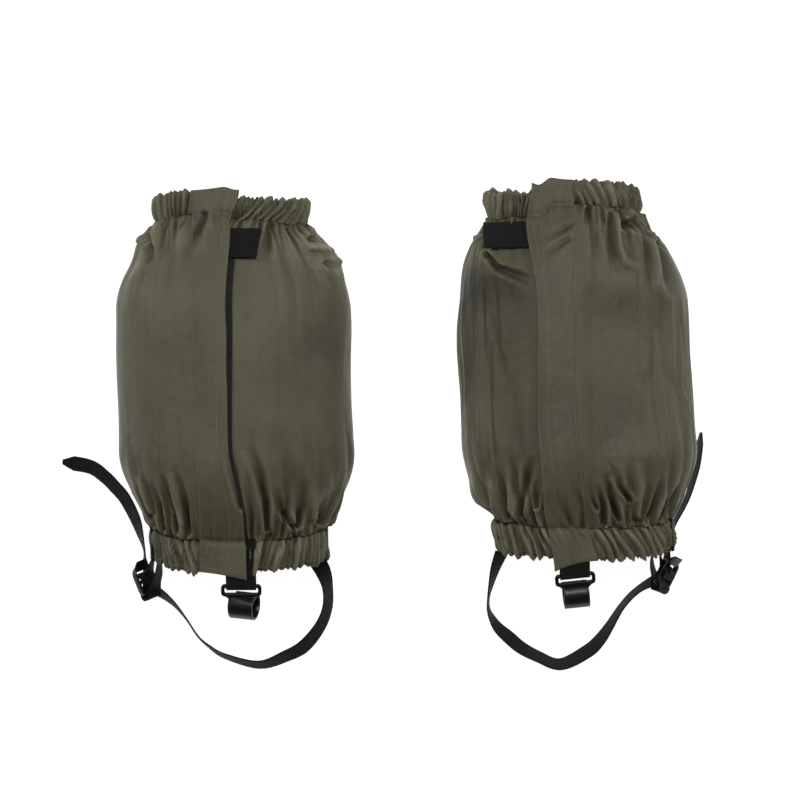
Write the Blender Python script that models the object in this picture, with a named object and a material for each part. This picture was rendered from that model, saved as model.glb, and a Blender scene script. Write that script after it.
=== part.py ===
"""A pair of short hiking gaiters, laid side by side on their backs with the front flaps up.

Row frame: +X across the pair, from the left gaiter to the right one, +Y along the leg from the
ankle to the calf, +Z up, out of the fronts. Everything rests on the plane z = 0.

Each gaiter is a sleeve of two fabric panels that meet at a back seam. The sleeve is open down the
front: a wide flap hangs on the outer panel and closes over a narrow underlap on the inner panel,
held by hook-and-loop tape. An elastic runs in a turned casing at each end.

Positions on a sleeve are given by three values: y along the leg, an angle round the leg (0 at the
outer side, 90 degrees at the front, 180 at the inner side, -90 at the back) and a lift off the
fabric's outer surface.
"""

import math

import bmesh
import bpy
from mathutils import Matrix, Vector

# ---------------------------------------------------------------- sleeve, in metres
BELLY_HALF_WIDTH = 0.0995
TOP_HALF_WIDTH = 0.0620
BOTTOM_HALF_WIDTH = 0.0725
BELLY_HEIGHT = 0.090
TOP_HEIGHT = 0.072
BOTTOM_HEIGHT = 0.068
MIDDLE_SHARE = 0.42  # widest level, as a share of the height
UNDER_REACH = 1.13  # how far the round underside would go below its widest level
TOP_SHOULDER = 0.075
BOTTOM_SHOULDER = 0.066
CUFF_SWELL = 0.0020

TOP_HEM_Y = 0.1570
TOP_GATHER_Y = 0.1370
BOTTOM_GATHER_Y = -0.1220
BOTTOM_HEM_Y = -0.1480
TOP_BOW = 0.0040  # the hems and gathers bow outwards at the front
BOTTOM_BOW = 0.0135

FABRIC = 0.0012
GAP = 0.0003
LAYER_GAP = 0.0004

# ---------------------------------------------------------------- cuffs
CASING_WALL = 0.0010
ELASTIC_THICKNESS = 0.0014
ELASTIC_ROOM = 0.0005
PLEAT_DEPTH = 0.0007
CUFF_SEGMENTS = 44

# ---------------------------------------------------------------- front closure
TAPE = 0.0010
FLAP_LIFT = 2 * TAPE + 3 * LAYER_GAP
RAMP_WIDTH = 0.024  # over this width the outer panel climbs to the flap's level
UNDERLAP_INSET = 0.004
UNDERLAP_REACH = 0.006
UNDERLAP_SEAM = 0.0006
EDGE_HEM = 0.009
HOOK_TAPE_WIDTH = 0.026
SEAM_CLEAR = 0.0015  # how far tapes and elastic stay from a seam
# The flap's lines are set at these levels along the leg, from the top hem to the bottom hem.
FLAP_LEVELS = (0.157, 0.130, 0.060, -0.050, -0.105, -0.148)

# ---------------------------------------------------------------- webbing and hardware
TAB_WIDTH = 0.025
TAB_THICKNESS = 0.0011
TAB_LIFT = 0.0018
STRAP_WIDTH = 0.015
STRAP_THICKNESS = 0.0015

HOOK_WEBBING_WIDTH = 0.025
HOOK_WEBBING = 0.0009
HOOK_SEWN = 0.011
HOOK_FRAME_WIDTH = 0.034
HOOK_SLOT_WIDTH = 0.0278
HOOK_SLOT_HEIGHT = 0.0048
HOOK_BAR = 0.0030
HOOK_STRIP_WIDTH = 0.0215
HOOK_WALL = 0.0022
HOOK_CURL_RADIUS = 0.0108
HOOK_CURL_DEPTH = 0.006
HOOK_CURL_SWEEP = math.radians(262)
HOOK_DROOP = math.radians(18)
HOOK_NECK = 0.003  # from the frame's lower bar to where the strip starts to curl, and its lip

BUCKLE_LENGTH = 0.028
BUCKLE_WIDTH = 0.0205
BUCKLE_RAIL = 0.0024
BUCKLE_BAR = 0.0032
BUCKLE_THICKNESS = 0.0042
BUCKLE_LOW = 0.0006
KEEPER_THICKNESS = 0.0012
# Each sewn webbing end, with the angles in degrees that it lies between on the bottom cuff.
PATCHES = (("strap_anchor", 168, 195), ("keeper_patch", 12, -15))
PATCH_INSET = 0.001


def smooth(share):
    share = min(max(share, 0.0), 1.0)
    return share * share * (3 - 2 * share)


def between(levels, values, y):
    """The value at y of a line that eases from one level's value to the next."""
    if y >= levels[0]:
        return values[0]
    for upper, lower, first, second in zip(levels, levels[1:], values, values[1:]):
        if y >= lower:
            return first + (second - first) * smooth((upper - y) / (upper - lower))
    return values[-1]


def fullness(y):
    """0 at a gather line, 1 where the sleeve is fully puffed out."""
    top = min(max((TOP_GATHER_Y - y) / TOP_SHOULDER, 0.0), 1.0)
    bottom = min(max((y - BOTTOM_GATHER_Y) / BOTTOM_SHOULDER, 0.0), 1.0)
    return math.sin(math.pi / 2 * min(top, bottom)) ** 1.1


def swell(y):
    """The slight barrel of each cuff between its gather line and its hem."""
    if y > TOP_GATHER_Y:
        share = (y - TOP_GATHER_Y) / (TOP_HEM_Y - TOP_GATHER_Y)
    elif y < BOTTOM_GATHER_Y:
        share = (BOTTOM_GATHER_Y - y) / (BOTTOM_GATHER_Y - BOTTOM_HEM_Y)
    else:
        return 0.0
    return CUFF_SWELL * math.sin(math.pi * min(share, 1.0))


def half_width(y):
    end = TOP_HALF_WIDTH if y > 0 else BOTTOM_HALF_WIDTH
    return end + (BELLY_HALF_WIDTH - end) * fullness(y) + swell(y)


def height(y):
    end = TOP_HEIGHT if y > 0 else BOTTOM_HEIGHT
    return end + (BELLY_HEIGHT - end) * fullness(y)


def bow(y):
    """How far the front of the ring at y is drawn along the leg."""
    down = BOTTOM_BOW * smooth((-0.02 - y) / 0.10)
    up = TOP_BOW * smooth((y - 0.05) / 0.10)
    return up - down


def front_angle(y, out):
    """The angle at which the front of the sleeve is `out` metres towards the outer side."""
    return math.acos(min(max(out / half_width(y), -1.0), 1.0))


class Gaiter:
    """One gaiter's own values, and where its points lie in the row frame."""

    def __init__(self, name, centre, outer_side, lean, flap_hinge, flap_edge, **more):
        self.name = name
        self.centre = centre
        self.outer_side = outer_side
        self.lean = lean
        self.flap_hinge = flap_hinge
        self.flap_edge = flap_edge
        self.tape_showing = more["tape_showing"]
        self.tab_reach = more["tab_reach"]
        self.tab_curl = more["tab_curl"]
        self.tab_level = more["tab_level"]
        self.hook_out = more["hook_out"]
        self.hook_reach = more["hook_reach"]  # from the flap's hem to the lace hook's top bar
        self.hook_drop = more["hook_drop"]
        self.hook_turn = more["hook_turn"]
        self.keeper_x = more["keeper_x"]
        self.buckle_bar = more["buckle_bar"]
        self.buckle_turn = more["buckle_turn"]
        self.strap_route = more["strap_route"]
        self.tail_route = more["tail_route"]

    def place(self, out, y, z):
        x = self.centre[0] + self.outer_side * out + self.lean * y
        return Vector((x, self.centre[1] + y, z))

    def hinge_out(self, y):
        return between(FLAP_LEVELS, self.flap_hinge, y)

    def edge_out(self, y):
        return between(FLAP_LEVELS, self.flap_edge, y)

    def on_sleeve(self, y, angle, lift):
        wide = half_width(y)
        tall = height(y)
        middle = MIDDLE_SHARE * tall
        rise = tall - middle if math.sin(angle) >= 0 else UNDER_REACH * middle
        z = middle + rise * math.sin(angle)
        normal = Vector((math.cos(angle) / wide, math.sin(angle) / rise)).normalized()
        if z <= 0:
            z = 0.0
            normal = Vector((0.0, -1.0))
        out = wide * math.cos(angle) + lift * normal.x
        front = max(0.0, math.sin(angle))
        return self.place(out, y + bow(y) * front, z + lift * normal.y)

    def on_front(self, y, out, lift):
        return self.on_sleeve(y, front_angle(y, out), lift)

    def climb(self, y, angle):
        """The extra lift that brings the outer panel up to the flap at the hinge line."""
        beyond = half_width(y) * math.cos(angle) - self.hinge_out(y)
        if math.sin(angle) <= 0 or beyond < 0:
            return 0.0
        return (FLAP_LIFT + FABRIC) * smooth(1 - beyond / RAMP_WIDTH)


# ---------------------------------------------------------------- making closed bodies
def make_material(name, colour, roughness):
    material = bpy.data.materials.new(name)
    material.use_nodes = True
    shader = material.node_tree.nodes["Principled BSDF"]
    shader.inputs["Base Color"].default_value = (*colour, 1.0)
    shader.inputs["Roughness"].default_value = roughness
    shader.inputs["Metallic"].default_value = 0.0
    return material


def add_object(name, mesh_builder, material, pivot=(0.0, 0.0, 0.0)):
    """Makes the bmesh into an object whose origin is the pivot, which a moving piece turns on."""
    pivot = Vector(pivot)
    bmesh.ops.recalc_face_normals(mesh_builder, faces=mesh_builder.faces)
    bmesh.ops.translate(mesh_builder, vec=-pivot, verts=mesh_builder.verts)
    mesh = bpy.data.meshes.new(name)
    mesh_builder.to_mesh(mesh)
    mesh_builder.free()
    mesh.materials.append(material)
    mesh.shade_smooth()
    mesh.set_sharp_from_angle(angle=math.radians(40))
    created = bpy.data.objects.new(name, mesh)
    created.location = pivot
    bpy.context.scene.collection.objects.link(created)
    return created


def closed_skin(outer, inner):
    """A closed body between two grids of points that have the same rows and columns."""
    builder = bmesh.new()
    top = [[builder.verts.new(point) for point in row] for row in outer]
    low = [[builder.verts.new(point) for point in row] for row in inner]
    rows = len(top)
    columns = len(top[0])
    for i in range(rows - 1):
        for j in range(columns - 1):
            builder.faces.new((top[i][j], top[i][j + 1], top[i + 1][j + 1], top[i + 1][j]))
            builder.faces.new((low[i][j], low[i + 1][j], low[i + 1][j + 1], low[i][j + 1]))
    for i in range(rows - 1):
        for j in (0, columns - 1):
            builder.faces.new((top[i][j], top[i + 1][j], low[i + 1][j], low[i][j]))
    for j in range(columns - 1):
        for i in (0, rows - 1):
            builder.faces.new((top[i][j], low[i][j], low[i][j + 1], top[i][j + 1]))
    return builder


def swept_profile(sections):
    """A closed body through a list of sections, each a loop of the same number of points."""
    builder = bmesh.new()
    loops = [[builder.verts.new(point) for point in section] for section in sections]
    count = len(loops[0])
    for first, second in zip(loops, loops[1:]):
        for k in range(count):
            after = (k + 1) % count
            builder.faces.new((first[k], first[after], second[after], second[k]))
    builder.faces.new(loops[0])
    builder.faces.new(loops[-1])
    return builder


def ribbon(points, across, width, thickness):
    """A flat strip along the points, whose width lies along the `across` directions."""
    sections = []
    last = len(points) - 1
    for i, point in enumerate(points):
        along = (points[min(i + 1, last)] - points[max(i - 1, 0)]).normalized()
        side = (across[i] - across[i].dot(along) * along).normalized()
        face = along.cross(side)
        half = side * width / 2
        deep = face * thickness / 2
        sections.append([point + half + deep, point - half + deep, point - half - deep, point + half - deep])
    return swept_profile(sections)


def box(low, high):
    builder = bmesh.new()
    bmesh.ops.create_cube(builder, size=1.0)
    size = Vector(high) - Vector(low)
    bmesh.ops.scale(builder, vec=size, verts=builder.verts)
    bmesh.ops.translate(builder, vec=(Vector(low) + Vector(high)) / 2, verts=builder.verts)
    return builder


def helper_object(name, builder):
    mesh = bpy.data.meshes.new(name)
    bmesh.ops.recalc_face_normals(builder, faces=builder.faces)
    builder.to_mesh(mesh)
    builder.free()
    helper = bpy.data.objects.new(name, mesh)
    helper.hide_render = True
    helper.display_type = "WIRE"
    bpy.context.scene.collection.objects.link(helper)
    return helper


def add_boolean(target, other, operation):
    modifier = target.modifiers.new(operation.title(), "BOOLEAN")
    modifier.operation = operation
    modifier.object = other
    modifier.solver = "EXACT"


def smooth_route(points, steps):
    """A Catmull-Rom curve through the points, each point a Vector of any size."""
    first = points[0] * 2 - points[1]
    last = points[-1] * 2 - points[-2]
    padded = [first, *points, last]
    curve = []
    for before, start, end, after in zip(padded, padded[1:], padded[2:], padded[3:]):
        for step in range(steps):
            t = step / steps
            curve.append(
                0.5
                * (
                    2 * start
                    + (end - before) * t
                    + (2 * before - 5 * start + 4 * end - after) * t**2
                    + (3 * start - before - 3 * end + after) * t**3
                )
            )
    curve.append(points[-1])
    return curve


# ---------------------------------------------------------------- levels along the leg
def body_levels():
    """Levels between the gather lines, closer together near each gather."""
    top = TOP_GATHER_Y - GAP
    bottom = BOTTOM_GATHER_Y + GAP
    middle = (top + bottom) / 2
    reach = (top - bottom) / 2
    steps = 14
    return [middle + reach * math.cos(math.pi * k / steps) for k in range(steps + 1)]


def full_levels():
    top_cuff = [TOP_HEM_Y, (TOP_HEM_Y + TOP_GATHER_Y) / 2]
    bottom_cuff = [(BOTTOM_HEM_Y + BOTTOM_GATHER_Y) / 2, BOTTOM_HEM_Y]
    return top_cuff + body_levels() + bottom_cuff


# ---------------------------------------------------------------- the sleeve's pieces
def skin_round(gaiter, levels, start_angle, end_angle, columns, thickness, lift=0.0, climbing=False):
    """A fabric piece round part of the sleeve, from one angle to another at each level."""
    outer = []
    inner = []
    for y in levels:
        start = start_angle(y)
        end = end_angle(y)
        outer_row = []
        inner_row = []
        for k in range(columns + 1):
            angle = start + (end - start) * k / columns
            raised = lift + (gaiter.climb(y, angle) if climbing else 0.0)
            outer_row.append(gaiter.on_sleeve(y, angle, raised))
            inner_row.append(gaiter.on_sleeve(y, angle, raised - thickness))
        outer.append(outer_row)
        inner.append(inner_row)
    return closed_skin(outer, inner)


def add_panels(gaiter, fabric):
    seam = math.radians(-90)
    outer = skin_round(
        gaiter,
        body_levels(),
        lambda y: front_angle(y, gaiter.hinge_out(y) + GAP),
        lambda y: seam + GAP / half_width(y),
        16,
        FABRIC,
        climbing=True,
    )
    add_object(f"{gaiter.name}_outer_panel", outer, fabric)
    inner = skin_round(
        gaiter,
        body_levels(),
        lambda y: front_angle(y, gaiter.edge_out(y) + UNDERLAP_REACH - UNDERLAP_SEAM),
        lambda y: seam + math.radians(360) - GAP / half_width(y),
        16,
        FABRIC,
    )
    add_object(f"{gaiter.name}_inner_panel", inner, fabric)


def strip_on_front(gaiter, levels, start_out, end_out, columns, lift, thickness):
    outer = []
    inner = []
    for y in levels:
        start = start_out(y)
        end = end_out(y)
        outs = [start + (end - start) * k / columns for k in range(columns + 1)]
        outer.append([gaiter.on_front(y, out, lift + thickness) for out in outs])
        inner.append([gaiter.on_front(y, out, lift) for out in outs])
    return closed_skin(outer, inner)


def add_underlap(gaiter, fabric, hook_material):
    strip = strip_on_front(
        gaiter,
        full_levels(),
        lambda y: gaiter.hinge_out(y) - UNDERLAP_INSET,
        lambda y: gaiter.edge_out(y) + UNDERLAP_REACH + UNDERLAP_SEAM,
        4,
        -FABRIC,
        FABRIC,
    )
    add_object(f"{gaiter.name}_underlap", strip, fabric)
    tape_levels = [y for y in full_levels() if BOTTOM_HEM_Y < y < TOP_GATHER_Y - 0.03]
    tape = strip_on_front(
        gaiter,
        tape_levels,
        lambda y: gaiter.edge_out(y) - gaiter.tape_showing + HOOK_TAPE_WIDTH,
        lambda y: gaiter.edge_out(y) - gaiter.tape_showing,
        4,
        LAYER_GAP,
        TAPE,
    )
    add_object(f"{gaiter.name}_hook_tape", tape, hook_material)


def cuff_angles(gaiter, y):
    """Angles round the cuff from the flap's hinge, by the back, to the underlap."""
    start = front_angle(y, gaiter.hinge_out(y) + GAP)
    end = front_angle(y, gaiter.edge_out(y) + UNDERLAP_REACH - UNDERLAP_SEAM) - math.radians(360)
    return [start + (end - start) * k / CUFF_SEGMENTS for k in range(CUFF_SEGMENTS + 1)]


def pleat(index):
    """The ribs of the gathered casing: every other line is sunk, except near its two ends."""
    near_end = min(index, CUFF_SEGMENTS - index)
    if near_end < 2:
        return 0.0
    return -PLEAT_DEPTH if index % 2 else 0.0


def sweep_cuff(gaiter, profile):
    """Sweeps (lift, y) points round the cuff, following the pleats and the climb to the flap."""
    sections = []
    for index in range(CUFF_SEGMENTS + 1):
        section = []
        for lift, y in profile:
            angle = cuff_angles(gaiter, y)[index]
            raised = lift + gaiter.climb(y, angle)
            if gaiter.on_sleeve(y, angle, 0.0).z > 0:
                raised += pleat(index)
            section.append(gaiter.on_sleeve(y, angle, raised))
        sections.append(section)
    return swept_profile(sections)


def add_cuff(gaiter, end_name, gather, hem, fabric, elastic_material):
    """A casing turned over at the hem, open towards the sleeve, and the elastic inside it."""
    towards_hem = math.copysign(1.0, hem - gather)
    mouth = gather + towards_hem * GAP
    depth = 2 * CASING_WALL + 2 * ELASTIC_ROOM + ELASTIC_THICKNESS
    fold = hem - towards_hem * CASING_WALL
    middle = (mouth + hem) / 2
    casing = [
        (0.0, mouth),
        (0.0, middle),
        (0.0, hem),
        (-depth, hem),
        (-depth, middle),
        (-depth, mouth),
        (CASING_WALL - depth, mouth),
        (CASING_WALL - depth, middle),
        (CASING_WALL - depth, fold),
        (-CASING_WALL, fold),
        (-CASING_WALL, middle),
        (-CASING_WALL, mouth),
    ]
    add_object(f"{gaiter.name}_{end_name}_cuff", sweep_cuff(gaiter, casing), fabric)
    near = mouth + towards_hem * SEAM_CLEAR
    far = fold - towards_hem * ELASTIC_ROOM
    high = -CASING_WALL - ELASTIC_ROOM
    low = high - ELASTIC_THICKNESS
    elastic = [(high, near), (high, middle), (high, far), (low, far), (low, middle), (low, near)]
    add_object(f"{gaiter.name}_{end_name}_elastic", sweep_cuff(gaiter, elastic), elastic_material)


# ---------------------------------------------------------------- the flap and what hangs on it
def hinge_pivot(gaiter):
    """A point on the flap's straight hinge line, level with the flap's highest seam."""
    outs = [gaiter.hinge_out(y) for y in full_levels()]
    out = max(outs)
    top = max(gaiter.on_front(y, gaiter.hinge_out(y), FLAP_LIFT + FABRIC).z for y in full_levels())
    return gaiter.place(out, 0.0, top)


def add_flap(gaiter, fabric, loop_material):
    pivot = hinge_pivot(gaiter)
    flap = strip_on_front(
        gaiter,
        full_levels(),
        lambda y: gaiter.hinge_out(y) - GAP,
        gaiter.edge_out,
        6,
        FLAP_LIFT,
        FABRIC,
    )
    add_object(f"{gaiter.name}_front_flap", flap, fabric, pivot)
    tape_levels = [y for y in full_levels() if BOTTOM_HEM_Y < y < TOP_HEM_Y]
    tape = strip_on_front(
        gaiter,
        tape_levels,
        lambda y: gaiter.hinge_out(y) - SEAM_CLEAR,
        lambda y: gaiter.edge_out(y) + EDGE_HEM,
        4,
        FLAP_LIFT - LAYER_GAP - TAPE,
        TAPE,
    )
    add_object(f"{gaiter.name}_loop_tape", tape, loop_material, pivot)


def tab_row(gaiter, y, lift):
    """One row of the pull tab: sewn under the flap's edge, then straight past it."""
    edge = gaiter.edge_out(gaiter.tab_level)
    sewn = [gaiter.on_front(y, edge + EDGE_HEM * share, lift) for share in (0.93, 0.45, 0.0)]
    heading = (sewn[-1] - sewn[-2]).normalized()
    points = list(sewn)
    steps = 6
    for k in range(steps):
        rise = gaiter.tab_curl * ((k + 1) / steps) ** 2
        turned = Vector((heading.x, 0.0, heading.z + math.tan(rise) * abs(heading.x)))
        points.append(points[-1] + turned.normalized() * gaiter.tab_reach / steps)
    return points


def add_pull_tab(gaiter, webbing):
    rows = [gaiter.tab_level + TAB_WIDTH * (k / 4 - 0.5) for k in range(5)]
    upper = [tab_row(gaiter, y, TAB_LIFT + TAB_THICKNESS / 2) for y in rows]
    lower = [tab_row(gaiter, y, TAB_LIFT - TAB_THICKNESS / 2) for y in rows]
    add_object(f"{gaiter.name}_pull_tab", closed_skin(upper, lower), webbing, tab_pivot(gaiter))


def tab_pivot(gaiter):
    return gaiter.on_front(gaiter.tab_level, gaiter.edge_out(gaiter.tab_level), TAB_LIFT)


def hook_bar(gaiter):
    """The middle of the lace hook's top bar, past the flap's bottom hem."""
    hem = gaiter.on_front(BOTTOM_HEM_Y, gaiter.hook_out, FLAP_LIFT - LAYER_GAP - HOOK_WEBBING)
    return hem - Vector((0.0, gaiter.hook_reach, gaiter.hook_drop))


def hook_frame(gaiter):
    """The lace hook's own directions: across, down its length, and out of its front."""
    turn = Matrix.Rotation(gaiter.hook_turn, 3, "Z")
    across = turn @ Vector((1.0, 0.0, 0.0))
    down = turn @ Vector((0.0, -math.cos(HOOK_DROOP), -math.sin(HOOK_DROOP)))
    return across, down, across.cross(down) * -1.0


def add_hook_webbing(gaiter, webbing):
    """A folded loop: sewn in two layers under the flap's hem, and round the hook's top bar."""
    bar = hook_bar(gaiter)
    across, down, front = hook_frame(gaiter)
    shifts = [HOOK_WEBBING_WIDTH * (k / 4 - 0.5) for k in range(5)]
    outs = [gaiter.hook_out + gaiter.outer_side * shift for shift in shifts]
    levels = (BOTTOM_HEM_Y + HOOK_SEWN, BOTTOM_HEM_Y)
    high = FLAP_LIFT - LAYER_GAP
    low = high - 2 * HOOK_WEBBING - GAP
    outer = [[gaiter.on_front(y, out, high) for out in outs] for y in levels]
    inner = [[gaiter.on_front(y, out, high - HOOK_WEBBING) for out in outs] for y in levels]
    radius = HOOK_BAR / math.sqrt(2) + GAP
    steps = 8
    for k in range(steps + 1):
        turn = math.pi * k / steps
        spoke = front * math.cos(turn) + down * math.sin(turn)
        outer.append([bar + across * shift + spoke * (radius + HOOK_WEBBING) for shift in shifts])
        inner.append([bar + across * shift + spoke * radius for shift in shifts])
    outer += [[gaiter.on_front(y, out, low) for out in outs] for y in reversed(levels)]
    inner += [[gaiter.on_front(y, out, low + HOOK_WEBBING) for out in outs] for y in reversed(levels)]
    add_object(f"{gaiter.name}_hook_webbing", closed_skin(outer, inner), webbing, hinge_pivot(gaiter))


def add_lace_hook(gaiter, plastic):
    """A slotted frame whose lower bar runs on into a strip curled into an open ring."""
    name = f"{gaiter.name}_lace_hook"
    bar = hook_bar(gaiter)
    across, down, front = hook_frame(gaiter)
    local = Matrix((across, -down, front)).transposed().to_4x4()
    frame_height = 2 * HOOK_BAR + HOOK_SLOT_HEIGHT
    half_bar = HOOK_BAR / 2
    frame = box(
        (-HOOK_FRAME_WIDTH / 2, half_bar - frame_height, -half_bar),
        (HOOK_FRAME_WIDTH / 2, half_bar, half_bar),
    )
    hook = add_object(name, frame, plastic)
    hook.matrix_world = Matrix.Translation(bar) @ local
    slot = box(
        (-HOOK_SLOT_WIDTH / 2, -half_bar - HOOK_SLOT_HEIGHT, -2 * HOOK_BAR),
        (HOOK_SLOT_WIDTH / 2, -half_bar, 2 * HOOK_BAR),
    )
    lower_bar = half_bar - frame_height + half_bar
    first = math.asin(HOOK_CURL_DEPTH / HOOK_CURL_RADIUS)
    centre_y = lower_bar - HOOK_NECK - HOOK_CURL_RADIUS * math.cos(first)
    points = [Vector((0.0, lower_bar, 0.0))]
    steps = 16
    for k in range(steps + 1):
        turn = first + HOOK_CURL_SWEEP * k / steps
        y = centre_y + HOOK_CURL_RADIUS * math.cos(turn)
        z = -HOOK_CURL_DEPTH + HOOK_CURL_RADIUS * math.sin(turn)
        points.append(Vector((0.0, y, z)))
    lip = (points[-1] - points[-2]).normalized()
    points.append(points[-1] + (lip + Vector((0.0, 0.0, -1.0))).normalized() * HOOK_NECK)
    side = [Vector((1.0, 0.0, 0.0))] * len(points)
    curl = ribbon(points, side, HOOK_STRIP_WIDTH, HOOK_WALL)
    for helper_name, builder, operation in (("slot", slot, "DIFFERENCE"), ("curl", curl, "UNION")):
        helper = helper_object(f"{name}_{helper_name}", builder)
        helper.matrix_world = hook.matrix_world
        add_boolean(hook, helper, operation)


# ---------------------------------------------------------------- straps, keeper and buckle
def route_ribbon(gaiter, route, steps):
    """A strap from route points of (x, y, z, tilt): metres from the gaiter's middle, and the
    degrees by which its width leans up from lying flat."""
    curve = smooth_route([Vector(point) for point in route], steps)
    points = [Vector((gaiter.centre[0] + x, gaiter.centre[1] + y, z)) for x, y, z, _ in curve]
    across = []
    last = len(points) - 1
    for i, sample in enumerate(curve):
        along = points[min(i + 1, last)] - points[max(i - 1, 0)]
        along.z = 0.0
        level = along.normalized().cross(Vector((0.0, 0.0, 1.0)))
        tilt = math.radians(sample[3])
        across.append(level * math.cos(tilt) + Vector((0.0, 0.0, 1.0)) * math.sin(tilt))
    return ribbon(points, across, STRAP_WIDTH, STRAP_THICKNESS)


def swing_points(gaiter):
    """The two points that the foot strap swings on: its anchor and the buckle's keeper bar."""
    anchor = Vector(gaiter.strap_route[0][:3])
    bar = Vector((*gaiter.buckle_bar, anchor.z))
    middle = Vector((*gaiter.centre, 0.0))
    return middle + anchor, middle + bar


def add_straps(gaiter, webbing):
    strap = route_ribbon(gaiter, gaiter.strap_route, 2)
    add_object(f"{gaiter.name}_foot_strap", strap, webbing, swing_points(gaiter)[0])
    tail = route_ribbon(gaiter, gaiter.tail_route, 3)
    add_object(f"{gaiter.name}_strap_tail", tail, webbing, swing_points(gaiter)[1])


def add_sewn_ends(gaiter, webbing):
    """The webbing ends sewn flat to the outside of the bottom cuff, one at each side."""
    middle = (BOTTOM_GATHER_Y + BOTTOM_HEM_Y) / 2
    levels = [BOTTOM_GATHER_Y - PATCH_INSET, middle, BOTTOM_HEM_Y + PATCH_INSET]
    for piece, start, end in PATCHES:
        patch = skin_round(
            gaiter,
            levels,
            lambda y, angle=start: math.radians(angle),
            lambda y, angle=end: math.radians(angle),
            4,
            STRAP_THICKNESS,
            lift=STRAP_THICKNESS + LAYER_GAP,
        )
        add_object(f"{gaiter.name}_{piece}", patch, webbing)


def buckle_axes(gaiter):
    along = Matrix.Rotation(gaiter.buckle_turn, 3, "Z") @ Vector((0.0, 1.0, 0.0))
    return along, Vector((0.0, 0.0, 1.0)).cross(along)


def add_keeper(gaiter, webbing):
    """A short loop that hangs from the cuff's hem and runs round the buckle's lower bar."""
    middle = Vector((*gaiter.centre, 0.0))
    level = BUCKLE_LOW + BUCKLE_WIDTH / 2
    bar = middle + Vector((*gaiter.buckle_bar, level))
    hem = middle + Vector((gaiter.keeper_x, BOTTOM_HEM_Y - 2 * GAP, level))
    down = (bar - hem).normalized()
    side = down.cross(Vector((0.0, 0.0, 1.0)))
    radius = math.hypot(BUCKLE_BAR, BUCKLE_THICKNESS) / 2 + GAP + KEEPER_THICKNESS / 2
    apart = (KEEPER_THICKNESS + GAP) / 2
    steps = 8
    bend = []
    for k in range(steps + 1):
        turn = math.pi * k / steps
        bend.append(bar + side * radius * math.cos(turn) + down * radius * math.sin(turn))
    points = [hem + side * apart, *bend, hem - side * apart]
    across = [Vector((0.0, 0.0, 1.0))] * len(points)
    keeper = ribbon(points, across, STRAP_WIDTH, KEEPER_THICKNESS)
    add_object(f"{gaiter.name}_keeper_loop", keeper, webbing)


def add_buckle(gaiter, plastic):
    """A ladder lock standing on edge: two rails, three bars and a thumb tab past the top bar."""
    name = f"{gaiter.name}_ladder_lock"
    along, outwards = buckle_axes(gaiter)
    middle = Vector((*gaiter.centre, 0.0))
    origin = middle + Vector((*gaiter.buckle_bar, 0.0))
    low = BUCKLE_LOW
    half_bar = BUCKLE_BAR / 2
    half_thick = BUCKLE_THICKNESS / 2
    plate = box((-half_thick, -half_bar, low), (half_thick, BUCKLE_LENGTH - half_bar, low + BUCKLE_WIDTH))
    buckle = add_object(name, plate, plastic)
    turned = Matrix((-outwards, along, Vector((0.0, 0.0, 1.0)))).transposed().to_4x4()
    buckle.matrix_world = Matrix.Translation(origin) @ turned
    slot_length = (BUCKLE_LENGTH - 3 * BUCKLE_BAR) / 2
    for index in range(2):
        start = half_bar + index * (slot_length + BUCKLE_BAR)
        slot = box(
            (-BUCKLE_THICKNESS, start, low + BUCKLE_RAIL),
            (BUCKLE_THICKNESS, start + slot_length, low + BUCKLE_WIDTH - BUCKLE_RAIL),
        )
        helper = helper_object(f"{name}_slot_{index}", slot)
        helper.matrix_world = buckle.matrix_world
        add_boolean(buckle, helper, "DIFFERENCE")


# ---------------------------------------------------------------- the pair
LEFT = Gaiter(
    "left",
    centre=(-0.1453, 0.0156),
    outer_side=-1.0,
    lean=-0.023,
    flap_hinge=(0.030, 0.0295, 0.031, 0.0295, 0.029, 0.031),
    flap_edge=(-0.0095, -0.002, 0.0023, 0.0027, -0.0075, -0.0085),
    tape_showing=0.005,
    tab_level=0.1150,
    tab_reach=0.0265,
    tab_curl=math.radians(35),
    hook_out=-0.0035,
    hook_reach=0.0085,
    hook_drop=0.0028,
    hook_turn=math.radians(0),
    keeper_x=-0.0690,
    buckle_bar=(-0.0740, -0.1810),
    buckle_turn=math.radians(22),
    strap_route=[
        (0.0670, -0.1500, 0.0100, 12),
        (0.0740, -0.1620, 0.0085, 30),
        (0.0778, -0.1755, 0.0078, 55),
        (0.0778, -0.1925, 0.0074, 57),
        (0.0714, -0.2095, 0.0066, 50),
        (0.0578, -0.2265, 0.0058, 40),
        (0.0425, -0.2350, 0.0062, 45),
        (0.0187, -0.2427, 0.0072, 58),
        (-0.0110, -0.2350, 0.0080, 68),
        (-0.0247, -0.2265, 0.0083, 76),
        (-0.0340, -0.2180, 0.0084, 80),
        (-0.0434, -0.2040, 0.0086, 80),
        (-0.0520, -0.1930, 0.0086, 74),
        (-0.0590, -0.1862, 0.0090, 70),
        (-0.0655, -0.1812, 0.0100, 72),
    ],
    tail_route=[
        (-0.0795, -0.1560, 0.0108, 88),
        (-0.0800, -0.1440, 0.0100, 80),
        (-0.0840, -0.1290, 0.0088, 62),
        (-0.0885, -0.1160, 0.0074, 48),
        (-0.0975, -0.0990, 0.0066, 42),
        (-0.1063, -0.0888, 0.0064, 40),
        (-0.1148, -0.0803, 0.0062, 38),
        (-0.1275, -0.0718, 0.0058, 34),
        (-0.1513, -0.0676, 0.0050, 30),
    ],
)

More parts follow.
